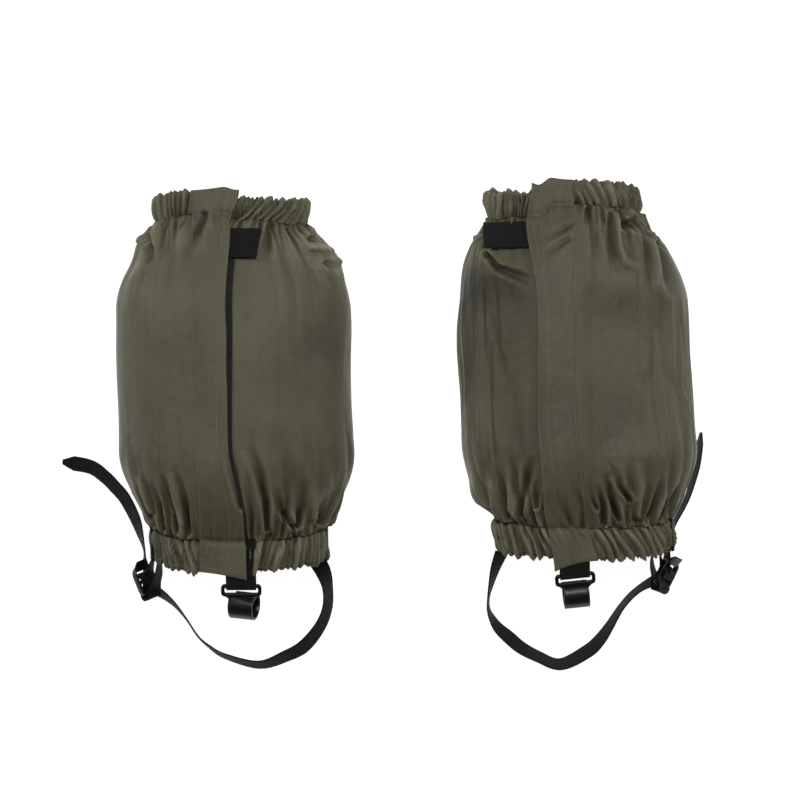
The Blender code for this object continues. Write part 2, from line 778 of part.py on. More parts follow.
RIGHT = Gaiter(
    "right",
    centre=(0.1437, 0.0236),
    outer_side=1.0,
    lean=-0.065,
    flap_hinge=(0.0065, 0.0055, -0.0015, -0.005, -0.0015, 0.007),
    flap_edge=(-0.0275, -0.034, -0.031, -0.0368, -0.0352, -0.0285),
    tape_showing=-0.001,
    tab_level=0.1215,
    tab_reach=0.038,
    tab_curl=0.0,
    hook_out=-0.0125,
    hook_reach=0.0073,
    hook_drop=0.0028,
    hook_turn=math.radians(6),
    keeper_x=0.0705,
    buckle_bar=(0.0750, -0.1835),
    buckle_turn=math.radians(-26),
    strap_route=[
        (-0.0610, -0.1530, 0.0110, 40),
        (-0.0663, -0.1670, 0.0090, 55),
        (-0.0697, -0.1798, 0.0086, 70),
        (-0.0723, -0.1925, 0.0085, 82),
        (-0.0723, -0.2027, 0.0084, 80),
        (-0.0689, -0.2112, 0.0082, 68),
        (-0.0638, -0.2189, 0.0074, 56),
        (-0.0544, -0.2274, 0.0066, 46),
        (-0.0442, -0.2359, 0.0064, 48),
        (-0.0298, -0.2435, 0.0068, 55),
        (-0.0102, -0.2503, 0.0070, 55),
        (0.0128, -0.2393, 0.0066, 48),
        (0.0238, -0.2291, 0.0068, 55),
        (0.0315, -0.2180, 0.0078, 66),
        (0.0366, -0.2095, 0.0082, 72),
        (0.0420, -0.2010, 0.0083, 76),
        (0.0500, -0.1915, 0.0085, 76),
        (0.0590, -0.1840, 0.0090, 74),
        (0.0690, -0.1785, 0.0100, 74),
    ],
    tail_route=[
        (0.0812, -0.1590, 0.0108, 88),
        (0.0825, -0.1450, 0.0100, 86),
        (0.0870, -0.1300, 0.0094, 84),
        (0.0945, -0.1160, 0.0090, 82),
        (0.0995, -0.1050, 0.0088, 80),
        (0.1035, -0.0930, 0.0086, 78),
        (0.1070, -0.0800, 0.0084, 76),
        (0.1090, -0.0680, 0.0084, 76),
        (0.1110, -0.0500, 0.0084, 78),
    ],
)


def main():
    for existing in list(bpy.data.objects):
        bpy.data.objects.remove(existing, do_unlink=True)
    fabric = make_material("coated_fabric", (0.100, 0.094, 0.064), 0.55)
    hook_material = make_material("hook_tape", (0.012, 0.012, 0.012), 0.90)
    loop_material = make_material("loop_tape", (0.016, 0.016, 0.016), 0.95)
    elastic_material = make_material("elastic", (0.020, 0.020, 0.020), 0.80)
    webbing = make_material("webbing", (0.014, 0.014, 0.014), 0.75)
    plastic = make_material("plastic", (0.012, 0.012, 0.013), 0.40)
    for gaiter in (LEFT, RIGHT):
        add_panels(gaiter, fabric)
        add_underlap(gaiter, fabric, hook_material)
        add_cuff(gaiter, "top", TOP_GATHER_Y, TOP_HEM_Y, fabric, elastic_material)
        add_cuff(gaiter, "bottom", BOTTOM_GATHER_Y, BOTTOM_HEM_Y, fabric, elastic_material)
        add_flap(gaiter, fabric, loop_material)
        add_pull_tab(gaiter, webbing)
        add_hook_webbing(gaiter, webbing)
        add_lace_hook(gaiter, plastic)
        add_straps(gaiter, webbing)
        add_sewn_ends(gaiter, webbing)
        add_keeper(gaiter, webbing)
        add_buckle(gaiter, plastic)


main()
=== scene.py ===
"""A pair of short elasticated gaiters lying on their backs on a pale floor, closures up.

Each gaiter is a gathered sleeve of coated fabric with an elastic casing at each end, a closing
flap over hook and loop tape, a webbing pull tab, a plastic lace hook and an adjustable foot strap.
"""

import math
import random

import bmesh
import bpy
import numpy as np
from mathutils import Matrix, Vector, noise


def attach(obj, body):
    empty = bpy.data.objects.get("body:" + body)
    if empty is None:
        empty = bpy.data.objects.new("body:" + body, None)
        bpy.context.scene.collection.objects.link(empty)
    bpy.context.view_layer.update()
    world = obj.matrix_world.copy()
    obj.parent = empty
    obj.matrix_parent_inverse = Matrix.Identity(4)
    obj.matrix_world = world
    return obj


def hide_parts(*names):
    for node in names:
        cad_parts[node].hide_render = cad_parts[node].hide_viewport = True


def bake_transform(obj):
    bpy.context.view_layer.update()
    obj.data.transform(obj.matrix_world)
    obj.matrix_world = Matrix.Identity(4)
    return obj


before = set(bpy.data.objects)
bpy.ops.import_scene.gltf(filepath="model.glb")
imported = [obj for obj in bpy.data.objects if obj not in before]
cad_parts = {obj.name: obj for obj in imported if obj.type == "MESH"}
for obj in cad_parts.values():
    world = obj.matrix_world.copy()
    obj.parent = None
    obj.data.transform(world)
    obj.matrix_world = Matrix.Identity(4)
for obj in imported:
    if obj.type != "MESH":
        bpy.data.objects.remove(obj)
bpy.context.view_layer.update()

# ---------------------------------------------------------------- sizes shared with the CAD, metres
BELLY_HALF_WIDTH = 0.0995
TOP_HALF_WIDTH = 0.0620
BOTTOM_HALF_WIDTH = 0.0725
BELLY_HEIGHT = 0.090
TOP_HEIGHT = 0.072
BOTTOM_HEIGHT = 0.068
MIDDLE_SHARE = 0.42
UNDER_REACH = 1.13
TOP_SHOULDER = 0.075
BOTTOM_SHOULDER = 0.066
TOP_HEM_Y = 0.1570
TOP_GATHER_Y = 0.1370
BOTTOM_GATHER_Y = -0.1220
BOTTOM_HEM_Y = -0.1480
TOP_BOW = 0.0040
FABRIC = 0.0012
GAP = 0.0003
LAYER_GAP = 0.0004
TAPE = 0.0010
FLAP_LIFT = 2 * TAPE + 3 * LAYER_GAP
FLAP_TOP = FLAP_LIFT + FABRIC
RAMP_WIDTH = 0.024
SEAM_TUCK = 0.0020
UNDERLAP_INSET = 0.004
UNDERLAP_REACH = 0.006
EDGE_HEM = 0.009
HOOK_TAPE_WIDTH = 0.026
FLAP_LEVELS = (0.157, 0.130, 0.060, -0.050, -0.105, -0.148)
TAB_WIDTH = 0.025
TAB_THICKNESS = 0.0014
TAB_LIFT = 0.0018
STRAP_WIDTH = 0.015
STRAP_THICKNESS = 0.0015
HOOK_WEBBING_WIDTH = 0.025
HOOK_WEBBING = 0.0010
HOOK_FRAME_WIDTH = 0.034
HOOK_SLOT_HEIGHT = 0.0048
HOOK_BAR = 0.0030
HOOK_STRIP_WIDTH = 0.0215
HOOK_WALL = 0.0020
HOOK_CURL_RADIUS = 0.0108
HOOK_CURL_DEPTH = 0.006
HOOK_CURL_SWEEP = math.radians(262)
HOOK_DROOP = math.radians(18)
BUCKLE_LENGTH = 0.028
BUCKLE_WIDTH = 0.0205
BUCKLE_RAIL = 0.0026
BUCKLE_BAR = 0.0032
BUCKLE_THICKNESS = 0.0052
BUCKLE_LOW = 0.0006
KEEPER_THICKNESS = 0.0012

UP = Vector((0.0, 0.0, 1.0))


def smooth(share):
    share = min(max(share, 0.0), 1.0)
    return share * share * (3 - 2 * share)


def between(levels, values, y):
    """The value at y of a line that eases from one level's value to the next."""
    if y >= levels[0]:
        return values[0]
    for upper, lower, first, second in zip(levels, levels[1:], values, values[1:]):
        if y >= lower:
            return first + (second - first) * smooth((upper - y) / (upper - lower))
    return values[-1]


def fullness(y):
    """0 at a gather line, 1 where the sleeve is fully puffed out."""
    top = min(max((TOP_GATHER_Y - y) / TOP_SHOULDER, 0.0), 1.0)
    bottom = min(max((y - BOTTOM_GATHER_Y) / BOTTOM_SHOULDER, 0.0), 1.0)
    return math.sin(math.pi / 2 * min(top, bottom)) ** 1.1


def half_width(y):
    end = TOP_HALF_WIDTH if y > 0 else BOTTOM_HALF_WIDTH
    return end + (BELLY_HALF_WIDTH - end) * fullness(y)


def height(y):
    end = TOP_HEIGHT if y > 0 else BOTTOM_HEIGHT
    return end + (BELLY_HEIGHT - end) * fullness(y)


def front_angle(y, out):
    """The angle at which the front of the sleeve is `out` metres towards the outer side."""
    return math.acos(min(max(out / half_width(y), -1.0), 1.0))


class Gaiter:
    """One gaiter's own values, and where its points lie in the shared frame."""

    def __init__(self, name, **values):
        self.name = name
        for key, value in values.items():
            setattr(self, key, value)
        self.inward = Vector((-self.outer_side, self.outer_side * self.lean, 0.0)).normalized()

    def place(self, out, y, z):
        x = self.centre[0] + self.outer_side * out + self.lean * y
        return Vector((x, self.centre[1] + y, z))

    def hinge_out(self, y):
        return between(FLAP_LEVELS, self.flap_hinge, y)

    def edge_out(self, y):
        return between(FLAP_LEVELS, self.flap_edge, y)

    def bow(self, y, angle):
        """How far the front at this level and angle is drawn along the leg."""
        front = max(0.0, math.sin(angle))
        down = self.bottom_bow * smooth((-0.02 - y) / 0.10)
        up = TOP_BOW * smooth((y - 0.05) / 0.10)
        beside = smooth((math.degrees(angle) % 360 - self.slump_from) / 12)
        beside *= smooth((205 - math.degrees(angle) % 360) / 60)
        return (up - down) * front - self.slump * beside * smooth((y - 0.07) / 0.06)

    def frame_at(self, y, angle):
        """The sleeve's surface point at this level and angle, and its outward direction."""
        wide = half_width(y)
        tall = height(y)
        middle = MIDDLE_SHARE * tall
        rise = tall - middle if math.sin(angle) >= 0 else UNDER_REACH * middle
        z = middle + rise * math.sin(angle)
        normal = Vector((math.cos(angle) / wide, math.sin(angle) / rise)).normalized()
        if z <= 0:
            z = 0.0
            normal = Vector((0.0, -1.0))
        point = self.place(wide * math.cos(angle), y + self.bow(y, angle), z)
        return point, Vector((self.outer_side * normal.x, 0.0, normal.y))

    def on_sleeve(self, y, angle, lift):
        point, normal = self.frame_at(y, angle)
        return point + normal * lift

    def on_front(self, y, out, lift):
        return self.on_sleeve(y, front_angle(y, out), lift)

    def climb(self, y, angle):
        """The extra lift that brings the outer panel up to the flap at the hinge line."""
        beyond = half_width(y) * math.cos(angle) - self.hinge_out(y)
        if math.sin(angle) <= 0 or beyond < -2 * SEAM_TUCK:
            return 0.0
        return FLAP_TOP * smooth(1 - beyond / RAMP_WIDTH) - 0.0014 * smooth(-beyond / SEAM_TUCK)


LEFT = Gaiter(
    "left",
    seed=11,
    centre=(-0.1453, 0.0156),
    outer_side=-1.0,
    lean=-0.023,
    flap_hinge=(0.030, 0.0295, 0.031, 0.0295, 0.029, 0.031),
    flap_edge=(-0.0095, -0.002, 0.0023, 0.0027, -0.0075, -0.0085),
    bottom_bow=0.0105,
    slump=0.0050,
    slump_from=86,
    droop=0.006,
    top_rise=0.0050,
    cuff_lean={"top": (0.008, 0.040), "bottom": (0.018, -0.020)},
    tape_showing=(0.0045, 0.0050, 0.0050, 0.0030, 0.0022, 0.0015),
    tape_top=0.104,
    tab_level=0.1150,
    tab_reach=0.0275,
    tab_curl=math.radians(35),
    tab_slant=0.18,
    hook_out=-0.0035,
    hook_reach=0.0085,
    hook_drop=0.0028,
    hook_turn=math.radians(0),
    hook_roll=math.radians(15),
    hook_sewn=0.028,
    keeper_x=-0.0690,
    buckle_bar=(-0.0740, -0.1810),
    buckle_turn=math.radians(22),
    buckle_roll=math.radians(-45),
    blend_from=0.0275,
    blend_rise=math.radians(25),
    # Each crease: millimetres that it stands out and half its width, then its line from the
    # gather outwards, in millimetres from the gaiter's centre.
    creases=[
        (2.6, 3.0, (-60, 134), (-61, 118), (-68, 106)),
        (-3.2, 2.6, (-66, 129), (-66, 113), (-71, 100)),
        (2.8, 3.4, (-72, 123), (-72, 111), (-75, 99), (-84, 86)),
        (-1.8, 4.0, (-22, 140), (-28, 126), (-35, 114), (-51, 86)),
        (1.5, 4.0, (-33, 136), (-40, 122), (-50, 106)),
        (-3.0, 3.0, (31, 134), (28, 106)),
        (-3.2, 5.5, (62, 121), (75, 124)),
        (1.5, 3.0, (61, 113), (71, 112), (81, 116)),
        (-1.5, 3.2, (74, 101), (85, 98), (93, 95)),
        (1.0, 3.6, (81, 109), (86, 94), (94, 87)),
        (2.8, 3.5, (-68, -108), (-79, -84), (-88, -61)),
        (-3.4, 2.5, (-64, -120), (-79, -91), (-85, -64)),
        (-3.6, 2.6, (-56, -122), (-61, -103), (-68, -81)),
        (-3.2, 2.4, (-45, -124), (-51, -103), (-58, -76)),
        (-3.4, 2.6, (-35, -126), (-38, -103), (-48, -69)),
        (-1.8, 2.6, (-29, -132), (-36, -82)),
        (-3.2, 2.6, (8, -104), (4, -81), (0, -58)),
        (-3.8, 2.8, (29, -122), (29, -98), (24, -76), (15, -51)),
        (-3.6, 2.6, (51, -122), (41, -106), (38, -88)),
        (-3.8, 2.6, (54, -120), (59, -104), (62, -80)),
        (-3.2, 2.8, (72, -118), (76, -104), (82, -89)),
        (1.6, 4.0, (67, -114), (67, -58)),
    ],
    # Each swelling of the side: which side, the level, how far it stands out and its reach.
    swells=[(1.0, 0.122, 0.0060, 0.014), (-1.0, 0.113, 0.0080, 0.020)],
    strap_route=[
        (0.0670, -0.1500, 0.0100, 12),
        (0.0740, -0.1620, 0.0085, 30),
        (0.0778, -0.1755, 0.0078, 55),
        (0.0778, -0.1925, 0.0074, 57),
        (0.0714, -0.2095, 0.0066, 50),
        (0.0578, -0.2265, 0.0058, 40),
        (0.0425, -0.2350, 0.0062, 45),
        (0.0187, -0.2427, 0.0072, 58),
        (-0.0110, -0.2350, 0.0080, 68),
        (-0.0247, -0.2265, 0.0083, 76),
        (-0.0340, -0.2180, 0.0084, 80),
        (-0.0434, -0.2040, 0.0086, 80),
        (-0.0520, -0.1930, 0.0086, 74),
        (-0.0590, -0.1862, 0.0090, 66),
        (-0.0655, -0.1812, 0.0098, 58),
        (-0.0702, -0.1786, 0.0102, 50),
    ],
    tail_route=[
        (-0.0772, -0.1665, 0.0106, 58),
        (-0.0795, -0.1560, 0.0108, 72),
        (-0.0800, -0.1440, 0.0100, 80),
        (-0.0840, -0.1290, 0.0088, 62),
        (-0.0885, -0.1160, 0.0074, 48),
        (-0.0975, -0.0990, 0.0066, 42),
        (-0.1063, -0.0888, 0.0064, 40),
        (-0.1148, -0.0803, 0.0062, 38),
        (-0.1275, -0.0718, 0.0058, 34),
        (-0.1513, -0.0676, 0.0050, 30),
    ],
)

RIGHT = Gaiter(
    "right",
    seed=29,
    centre=(0.1437, 0.0236),
    outer_side=1.0,
    lean=-0.065,
    flap_hinge=(0.0065, 0.0055, -0.0015, -0.005, -0.0015, 0.007),
    flap_edge=(-0.0275, -0.034, -0.031, -0.0368, -0.0352, -0.0285),
    bottom_bow=0.0080,
    slump=0.0095,
    slump_from=100,
    droop=0.010,
    top_rise=0.0080,
    cuff_lean={"top": (0.030, 0.012), "bottom": (-0.025, -0.015)},
    tape_showing=(-0.001,) * 6,
    tape_top=0.104,
    tab_level=0.1215,
    tab_reach=0.038,
    tab_curl=0.0,
    tab_slant=0.0,
    hook_out=-0.0125,
    hook_reach=0.0073,
    hook_drop=0.0028,
    hook_turn=math.radians(6),
    hook_roll=math.radians(0),
    hook_sewn=0.011,
    keeper_x=0.0705,
    buckle_bar=(0.0750, -0.1835),
    buckle_turn=math.radians(-26),
    buckle_roll=math.radians(-45),
    blend_from=-0.0045,
    blend_rise=math.radians(20),
    creases=[
        (2.6, 3.0, (31, 134), (34, 104), (39, 92), (55, 87)),
        (-1.8, 3.0, (26, 132), (28, 104), (33, 86)),
        (-3.0, 2.2, (7, 138), (7, 123)),
        (-3.8, 4.6, (39, 124), (56, 129)),
        (2.8, 3.2, (62, 119), (65, 98), (69, 74), (77, 58)),
        (-3.0, 3.6, (69, 112), (75, 93), (79, 73)),
        (-1.2, 3.0, (-5, 124), (-28, 110)),
        (-1.2, 3.0, (-8, 112), (-31, 97)),
        (2.6, 3.2, (-81, 117), (-86, 98)),
        (-2.8, 3.0, (-76, 100), (-68, 88), (-53, 82), (-36, 75)),
        (-3.4, 2.6, (-66, -122), (-76, -94), (-80, -72)),
        (-3.6, 2.6, (-56, -122), (-61, -99), (-66, -80)),
        (-3.6, 2.6, (-46, -119), (-44, -92), (-38, -69)),
        (-3.2, 2.4, (-34, -112), (-35, -89)),
        (-1.6, 2.4, (-5, -127), (-14, -106)),
        (-1.8, 2.6, (4, -129), (4, -112), (-4, -89)),
        (-3.4, 2.4, (15, -113), (5, -89)),
        (-3.8, 2.6, (22, -126), (20, -108), (12, -90)),
        (-3.8, 2.6, (34, -122), (26, -102), (22, -80)),
        (-3.2, 2.4, (43, -106), (34, -94), (27, -77)),
        (-3.6, 2.6, (57, -124), (64, -110), (71, -89)),
        (-3.4, 2.6, (70, -122), (77, -110), (87, -94)),
        (2.4, 3.6, (50, -120), (52, -96), (48, -74)),
    ],
    swells=[(-1.0, 0.072, -0.0060, 0.026), (-1.0, -0.106, 0.0075, 0.020)],
    strap_route=[
        (-0.0610, -0.1530, 0.0110, 40),
        (-0.0663, -0.1670, 0.0090, 55),
        (-0.0697, -0.1798, 0.0086, 70),
        (-0.0723, -0.1925, 0.0085, 82),
        (-0.0723, -0.2027, 0.0084, 80),
        (-0.0689, -0.2112, 0.0082, 68),
        (-0.0638, -0.2189, 0.0074, 56),
        (-0.0544, -0.2274, 0.0066, 46),
        (-0.0442, -0.2359, 0.0064, 48),
        (-0.0298, -0.2435, 0.0068, 55),
        (-0.0102, -0.2503, 0.0070, 55),
        (0.0128, -0.2393, 0.0066, 48),
        (0.0238, -0.2291, 0.0068, 55),
        (0.0315, -0.2180, 0.0078, 66),
        (0.0366, -0.2095, 0.0082, 72),
        (0.0420, -0.2010, 0.0083, 76),
        (0.0500, -0.1915, 0.0085, 76),
        (0.0590, -0.1840, 0.0090, 74),
        (0.0690, -0.1785, 0.0100, 62),
        (0.0722, -0.1782, 0.0102, 52),
    ],
    tail_route=[
        (0.0795, -0.1705, 0.0106, 58),
        (0.0812, -0.1590, 0.0108, 74),
        (0.0825, -0.1450, 0.0100, 86),
        (0.0870, -0.1300, 0.0094, 84),
        (0.0945, -0.1160, 0.0090, 82),
        (0.0995, -0.1050, 0.0088, 80),
        (0.1035, -0.0930, 0.0086, 78),
        (0.1070, -0.0800, 0.0084, 76),
        (0.1090, -0.0680, 0.0084, 76),
        (0.1110, -0.0500, 0.0084, 78),
    ],
)


# ---------------------------------------------------------------- camera, lights and floor
SENSOR_WIDTH = 36.0
CAMERA_DISTANCE = 2.0
SEEN_WIDTH = 0.68
CAMERA_PLACE = (-0.0050, 0.0014, 2.038)
# Each softbox: its place, where it points, its diameter in metres and its power in watts.
SOFTBOXES = {
    "left_softbox": ((-0.85, 0.35, 0.75), (-0.10, 0.0, 0.06), 0.30, 3.6),
    "right_softbox": ((0.85, 0.35, 0.75), (0.10, 0.0, 0.06), 0.30, 3.6),
    "top_softbox": ((0.0, 0.45, 1.6), (0.0, 0.0, 0.04), 0.42, 11.3),
}
WORLD_STRENGTH = 0.06
FLOOR_RADIUS = 6.0
FLOOR_GREY = 0.34
FLOOR_GLOW = 0.97


def add_camera():
    camera = bpy.data.cameras.new("camera")
    camera.sensor_width = SENSOR_WIDTH
    camera.lens = SENSOR_WIDTH * CAMERA_DISTANCE / SEEN_WIDTH
    holder = bpy.data.objects.new("camera", camera)
    holder.location = CAMERA_PLACE
    bpy.context.scene.collection.objects.link(holder)
    bpy.context.scene.camera = holder


def add_soft_light(name, place, target, size, power):
    light = bpy.data.lights.new(name, "AREA")
    light.shape = "DISK"
    light.size = size
    light.energy = power
    holder = bpy.data.objects.new(name, light)
    holder.location = place
    holder.rotation_euler = (Vector(target) - Vector(place)).to_track_quat("-Z", "Y").to_euler()
    bpy.context.scene.collection.objects.link(holder)


def add_studio():
    world = bpy.data.worlds.new("studio")
    world.use_nodes = True
    background = world.node_tree.nodes["Background"]
    background.inputs["Color"].default_value = (1.0, 1.0, 1.0, 1.0)
    background.inputs["Strength"].default_value = WORLD_STRENGTH
    bpy.context.scene.world = world
    bpy.context.scene.view_settings.view_transform = "Standard"
    for name, settings in SOFTBOXES.items():
        add_soft_light(name, *settings)

    builder = bmesh.new()
    bmesh.ops.create_circle(builder, cap_ends=True, segments=64, radius=FLOOR_RADIUS)
    mesh = bpy.data.meshes.new("floor")
    builder.to_mesh(mesh)
    builder.free()
    floor = bpy.data.objects.new("floor", mesh)
    floor.location = (0.0, 0.0, -0.0002)
    bpy.context.scene.collection.objects.link(floor)
    material = bpy.data.materials.new("floor_paper")
    material.use_nodes = True
    shader = material.node_tree.nodes["Principled BSDF"]
    shader.inputs["Base Color"].default_value = (FLOOR_GREY, FLOOR_GREY, FLOOR_GREY, 1.0)
    shader.inputs["Roughness"].default_value = 0.9
    shader.inputs["Specular IOR Level"].default_value = 0.1
    shader.inputs["Emission Color"].default_value = (1.0, 1.0, 1.0, 1.0)
    shader.inputs["Emission Strength"].default_value = FLOOR_GLOW
    mesh.materials.append(material)


# ---------------------------------------------------------------- procedural materials
class Nodes:
    """Short calls for building one material's node tree."""

    def __init__(self, name):
        self.material = bpy.data.materials.new(name)
        self.material.use_nodes = True
        self.tree = self.material.node_tree
        self.shader = self.tree.nodes["Principled BSDF"]

    def link(self, output, target):
        self.tree.links.new(output, target)

    def coordinates(self, kind="UV"):
        return self.tree.nodes.new("ShaderNodeTexCoord").outputs[kind]

    def scaled(self, source, scale):
        node = self.tree.nodes.new("ShaderNodeMapping")
        node.inputs["Scale"].default_value = scale
        self.link(source, node.inputs["Vector"])
        return node.outputs["Vector"]

    def noise(self, source, scale, detail=3.0, roughness=0.5):
        node = self.tree.nodes.new("ShaderNodeTexNoise")
        node.inputs["Scale"].default_value = scale
        node.inputs["Detail"].default_value = detail
        node.inputs["Roughness"].default_value = roughness
        self.link(source, node.inputs["Vector"])
        return node.outputs["Fac"]

    def ribs(self, source, direction, period):
        """Sine ribs along U ("X") or V ("Y") with a period in metres, from 0 to 1."""
        node = self.tree.nodes.new("ShaderNodeTexWave")
        node.wave_type = "BANDS"
        node.bands_direction = direction
        node.inputs["Scale"].default_value = math.pi / (10 * period)
        node.inputs["Distortion"].default_value = 0.0
        self.link(source, node.inputs["Vector"])
        return node.outputs["Fac"]

    def attribute(self, name):
        node = self.tree.nodes.new("ShaderNodeAttribute")
        node.attribute_name = name
        return node.outputs["Fac"]

    def math(self, operation, first, second):
        node = self.tree.nodes.new("ShaderNodeMath")
        node.operation = operation
        for socket, value in zip(node.inputs, (first, second)):
            if isinstance(value, (int, float)):
                socket.default_value = value
            else:
                self.link(value, socket)
        return node.outputs["Value"]

    def weighted(self, *terms):
        """The sum of several (output, weight) pairs."""
        total = None
        for source, weight in terms:
            term = self.math("MULTIPLY", source, weight)
            total = term if total is None else self.math("ADD", total, term)
        return total

    def ramp(self, source, stops):
        node = self.tree.nodes.new("ShaderNodeValToRGB")
        ramp = node.color_ramp
        while len(ramp.elements) < len(stops):
            ramp.elements.new(0.5)
        for element, (place, colour) in zip(ramp.elements, stops):
            element.position = place
            element.color = (*colour, 1.0)
        self.link(source, node.inputs["Fac"])
        return node.outputs["Color"]

    def span(self, source, low, high):
        node = self.tree.nodes.new("ShaderNodeMapRange")
        node.inputs["To Min"].default_value = low
        node.inputs["To Max"].default_value = high
        self.link(source, node.inputs["Value"])
        return node.outputs["Result"]

    def bump(self, heights):
        """Chains bumps, each a (height output, distance in metres)."""
        previous = None
        for source, distance in heights:
            node = self.tree.nodes.new("ShaderNodeBump")
            node.inputs["Strength"].default_value = 1.0
            node.inputs["Distance"].default_value = distance
            self.link(source, node.inputs["Height"])
            if previous is not None:
                self.link(previous, node.inputs["Normal"])
            previous = node.outputs["Normal"]
        self.link(previous, self.shader.inputs["Normal"])

    def finish(self, colour, roughness, specular=0.5, sheen=0.0, sheen_tint=None):
        self.link(colour, self.shader.inputs["Base Color"])
        self.link(roughness, self.shader.inputs["Roughness"])
        self.shader.inputs["Specular IOR Level"].default_value = specular
        self.shader.inputs["Sheen Weight"].default_value = sheen
        self.shader.inputs["Sheen Roughness"].default_value = 0.45
        if sheen_tint is not None:
            self.shader.inputs["Sheen Tint"].default_value = (*sheen_tint, 1.0)
        return self.material


PAINTED_FOLD_SHADE = "painted_fold_shade"
# The depth of a fold that gets the full painted shade or painted highlight, and how much darker the painted
# shade on the cuffs is set.
FULL_FOLD = {"sleeve": 0.0050, "cuff": 0.0030, "flap": 0.0036}
CUFF_SHADE = 0.0008


def mark_folds(mesh, depths, full_depth):
    """Stores each point's painted fold shade: 1 on the ridges of the folds, a painted highlight, and -1 in
    their valleys, a painted shade.
    """
    layer = mesh.attributes.new(PAINTED_FOLD_SHADE, "FLOAT", "POINT")
    layer.data.foreach_set("value", [min(max(depth / full_depth, -1.0), 1.0) for depth in depths])


def fabric_material():
    """Olive woven polyester: a plain weave, slubs along the yarns, fading, a painted highlight on the fold
    ridges and painted shade in the fold valleys.
    """
    nodes = Nodes("olive_fabric")
    uv = nodes.coordinates()
    where = nodes.coordinates("Object")
    weave = nodes.math("MULTIPLY", nodes.ribs(uv, "X", 0.00062), nodes.ribs(uv, "Y", 0.00062))
    slubs = nodes.noise(nodes.scaled(uv, (1500.0, 90.0, 1.0)), 1.0, 2.0)
    patches = nodes.noise(where, 14.0, 4.0, 0.6)
    streaks = nodes.noise(nodes.scaled(uv, (260.0, 14.0, 1.0)), 1.0, 3.0)
    fold_height_for_shade = nodes.attribute(PAINTED_FOLD_SHADE)
    # The stored fold heights paint shade into the fold valleys and a highlight onto the fold ridges.
    tone = nodes.weighted((patches, 0.55), (slubs, 0.25), (streaks, 0.20), (fold_height_for_shade, 0.40))
    colour = nodes.ramp(
        tone,
        [
            (0.08, (0.020, 0.018, 0.010)),
            (0.32, (0.054, 0.050, 0.027)),
            (0.50, (0.080, 0.074, 0.040)),
            (0.70, (0.107, 0.100, 0.056)),
            (0.95, (0.160, 0.150, 0.092)),
        ],
    )
    crumple = nodes.noise(where, 95.0, 5.0, 0.55)
    nodes.bump([(crumple, 0.0007), (streaks, 0.00012), (weave, 0.00010)])
    return nodes.finish(colour, nodes.span(patches, 0.38, 0.52), 0.42, 0.08, (0.62, 0.58, 0.44))


def coating_material():
    """The proofed inside of the fabric: near black, faintly creased."""
    nodes = Nodes("inner_coating")
    where = nodes.coordinates("Object")
    grain = nodes.noise(where, 60.0, 5.0, 0.6)
    colour = nodes.ramp(grain, [(0.3, (0.010, 0.010, 0.010)), (0.7, (0.020, 0.020, 0.019))])
    nodes.bump([(grain, 0.0006)])
    return nodes.finish(colour, nodes.span(grain, 0.40, 0.60), 0.4)


def webbing_material():
    """Black woven webbing: cross ribs, fine warp yarns and a little lint, with the rib crests painted
    lighter as a painted highlight.
    """
    nodes = Nodes("black_webbing")
    uv = nodes.coordinates()
    ribs = nodes.ribs(uv, "Y", 0.0019)
    yarns = nodes.ribs(uv, "X", 0.0012)
    weave = nodes.math("MULTIPLY", ribs, yarns)
    lint = nodes.noise(nodes.scaled(uv, (1800.0, 600.0, 1.0)), 1.0, 4.0, 0.7)
    tone = nodes.weighted((weave, 0.6), (lint, 0.4))
    # The weave's crests take the brightest stop, a painted highlight on the ribs; the lint is the webbing's
    # own speckle.
    stops = [
        (0.15, (0.0015, 0.0015, 0.0018)),
        (0.55, (0.0045, 0.0045, 0.0050)),
        (0.95, (0.0340, 0.0340, 0.0350)),
    ]
    colour = nodes.ramp(tone, stops)
    nodes.bump([(weave, 0.00055), (lint, 0.00010)])
    return nodes.finish(colour, nodes.span(lint, 0.55, 0.80), 0.22, 0.02)


def fuzz_material(name, dark, light, height_of_fuzz):
    """Hook or loop tape: a speckled mat of tiny fibres."""
    nodes = Nodes(name)
    where = nodes.coordinates("Object")
    fibres = nodes.noise(where, 1500.0, 3.0, 0.7)
    clumps = nodes.noise(where, 320.0, 3.0, 0.6)
    tone = nodes.weighted((fibres, 0.6), (clumps, 0.4))
    colour = nodes.ramp(tone, [(0.35, dark), (0.68, light)])
    nodes.bump([(clumps, height_of_fuzz), (fibres, height_of_fuzz / 2)])
    return nodes.finish(colour, nodes.span(fibres, 0.75, 0.95), 0.3, 0.10)


def plastic_material():
    """Moulded black acetal: satin, with flow marks and fine scuffs."""
    nodes = Nodes("black_plastic")
    where = nodes.coordinates("Object")
    scuffs = nodes.noise(nodes.scaled(where, (2600.0, 380.0, 900.0)), 1.0, 4.0, 0.7)
    flow = nodes.noise(where, 180.0, 2.0, 0.5)
    colour = nodes.ramp(scuffs, [(0.35, (0.0035, 0.0035, 0.0040)), (0.75, (0.0100, 0.0100, 0.0108))])
    nodes.bump([(flow, 0.00012), (scuffs, 0.00003)])
    return nodes.finish(colour, nodes.span(scuffs, 0.28, 0.44), 0.4)


def thread_material(name, dark, light):
    nodes = Nodes(name)
    where = nodes.coordinates("Object")
    twist = nodes.noise(nodes.scaled(where, (2200.0, 900.0, 2200.0)), 1.0, 2.0)
    colour = nodes.ramp(twist, [(0.35, dark), (0.65, light)])
    nodes.bump([(twist, 0.0001)])
    return nodes.finish(colour, nodes.span(twist, 0.50, 0.70), 0.4, 0.10)


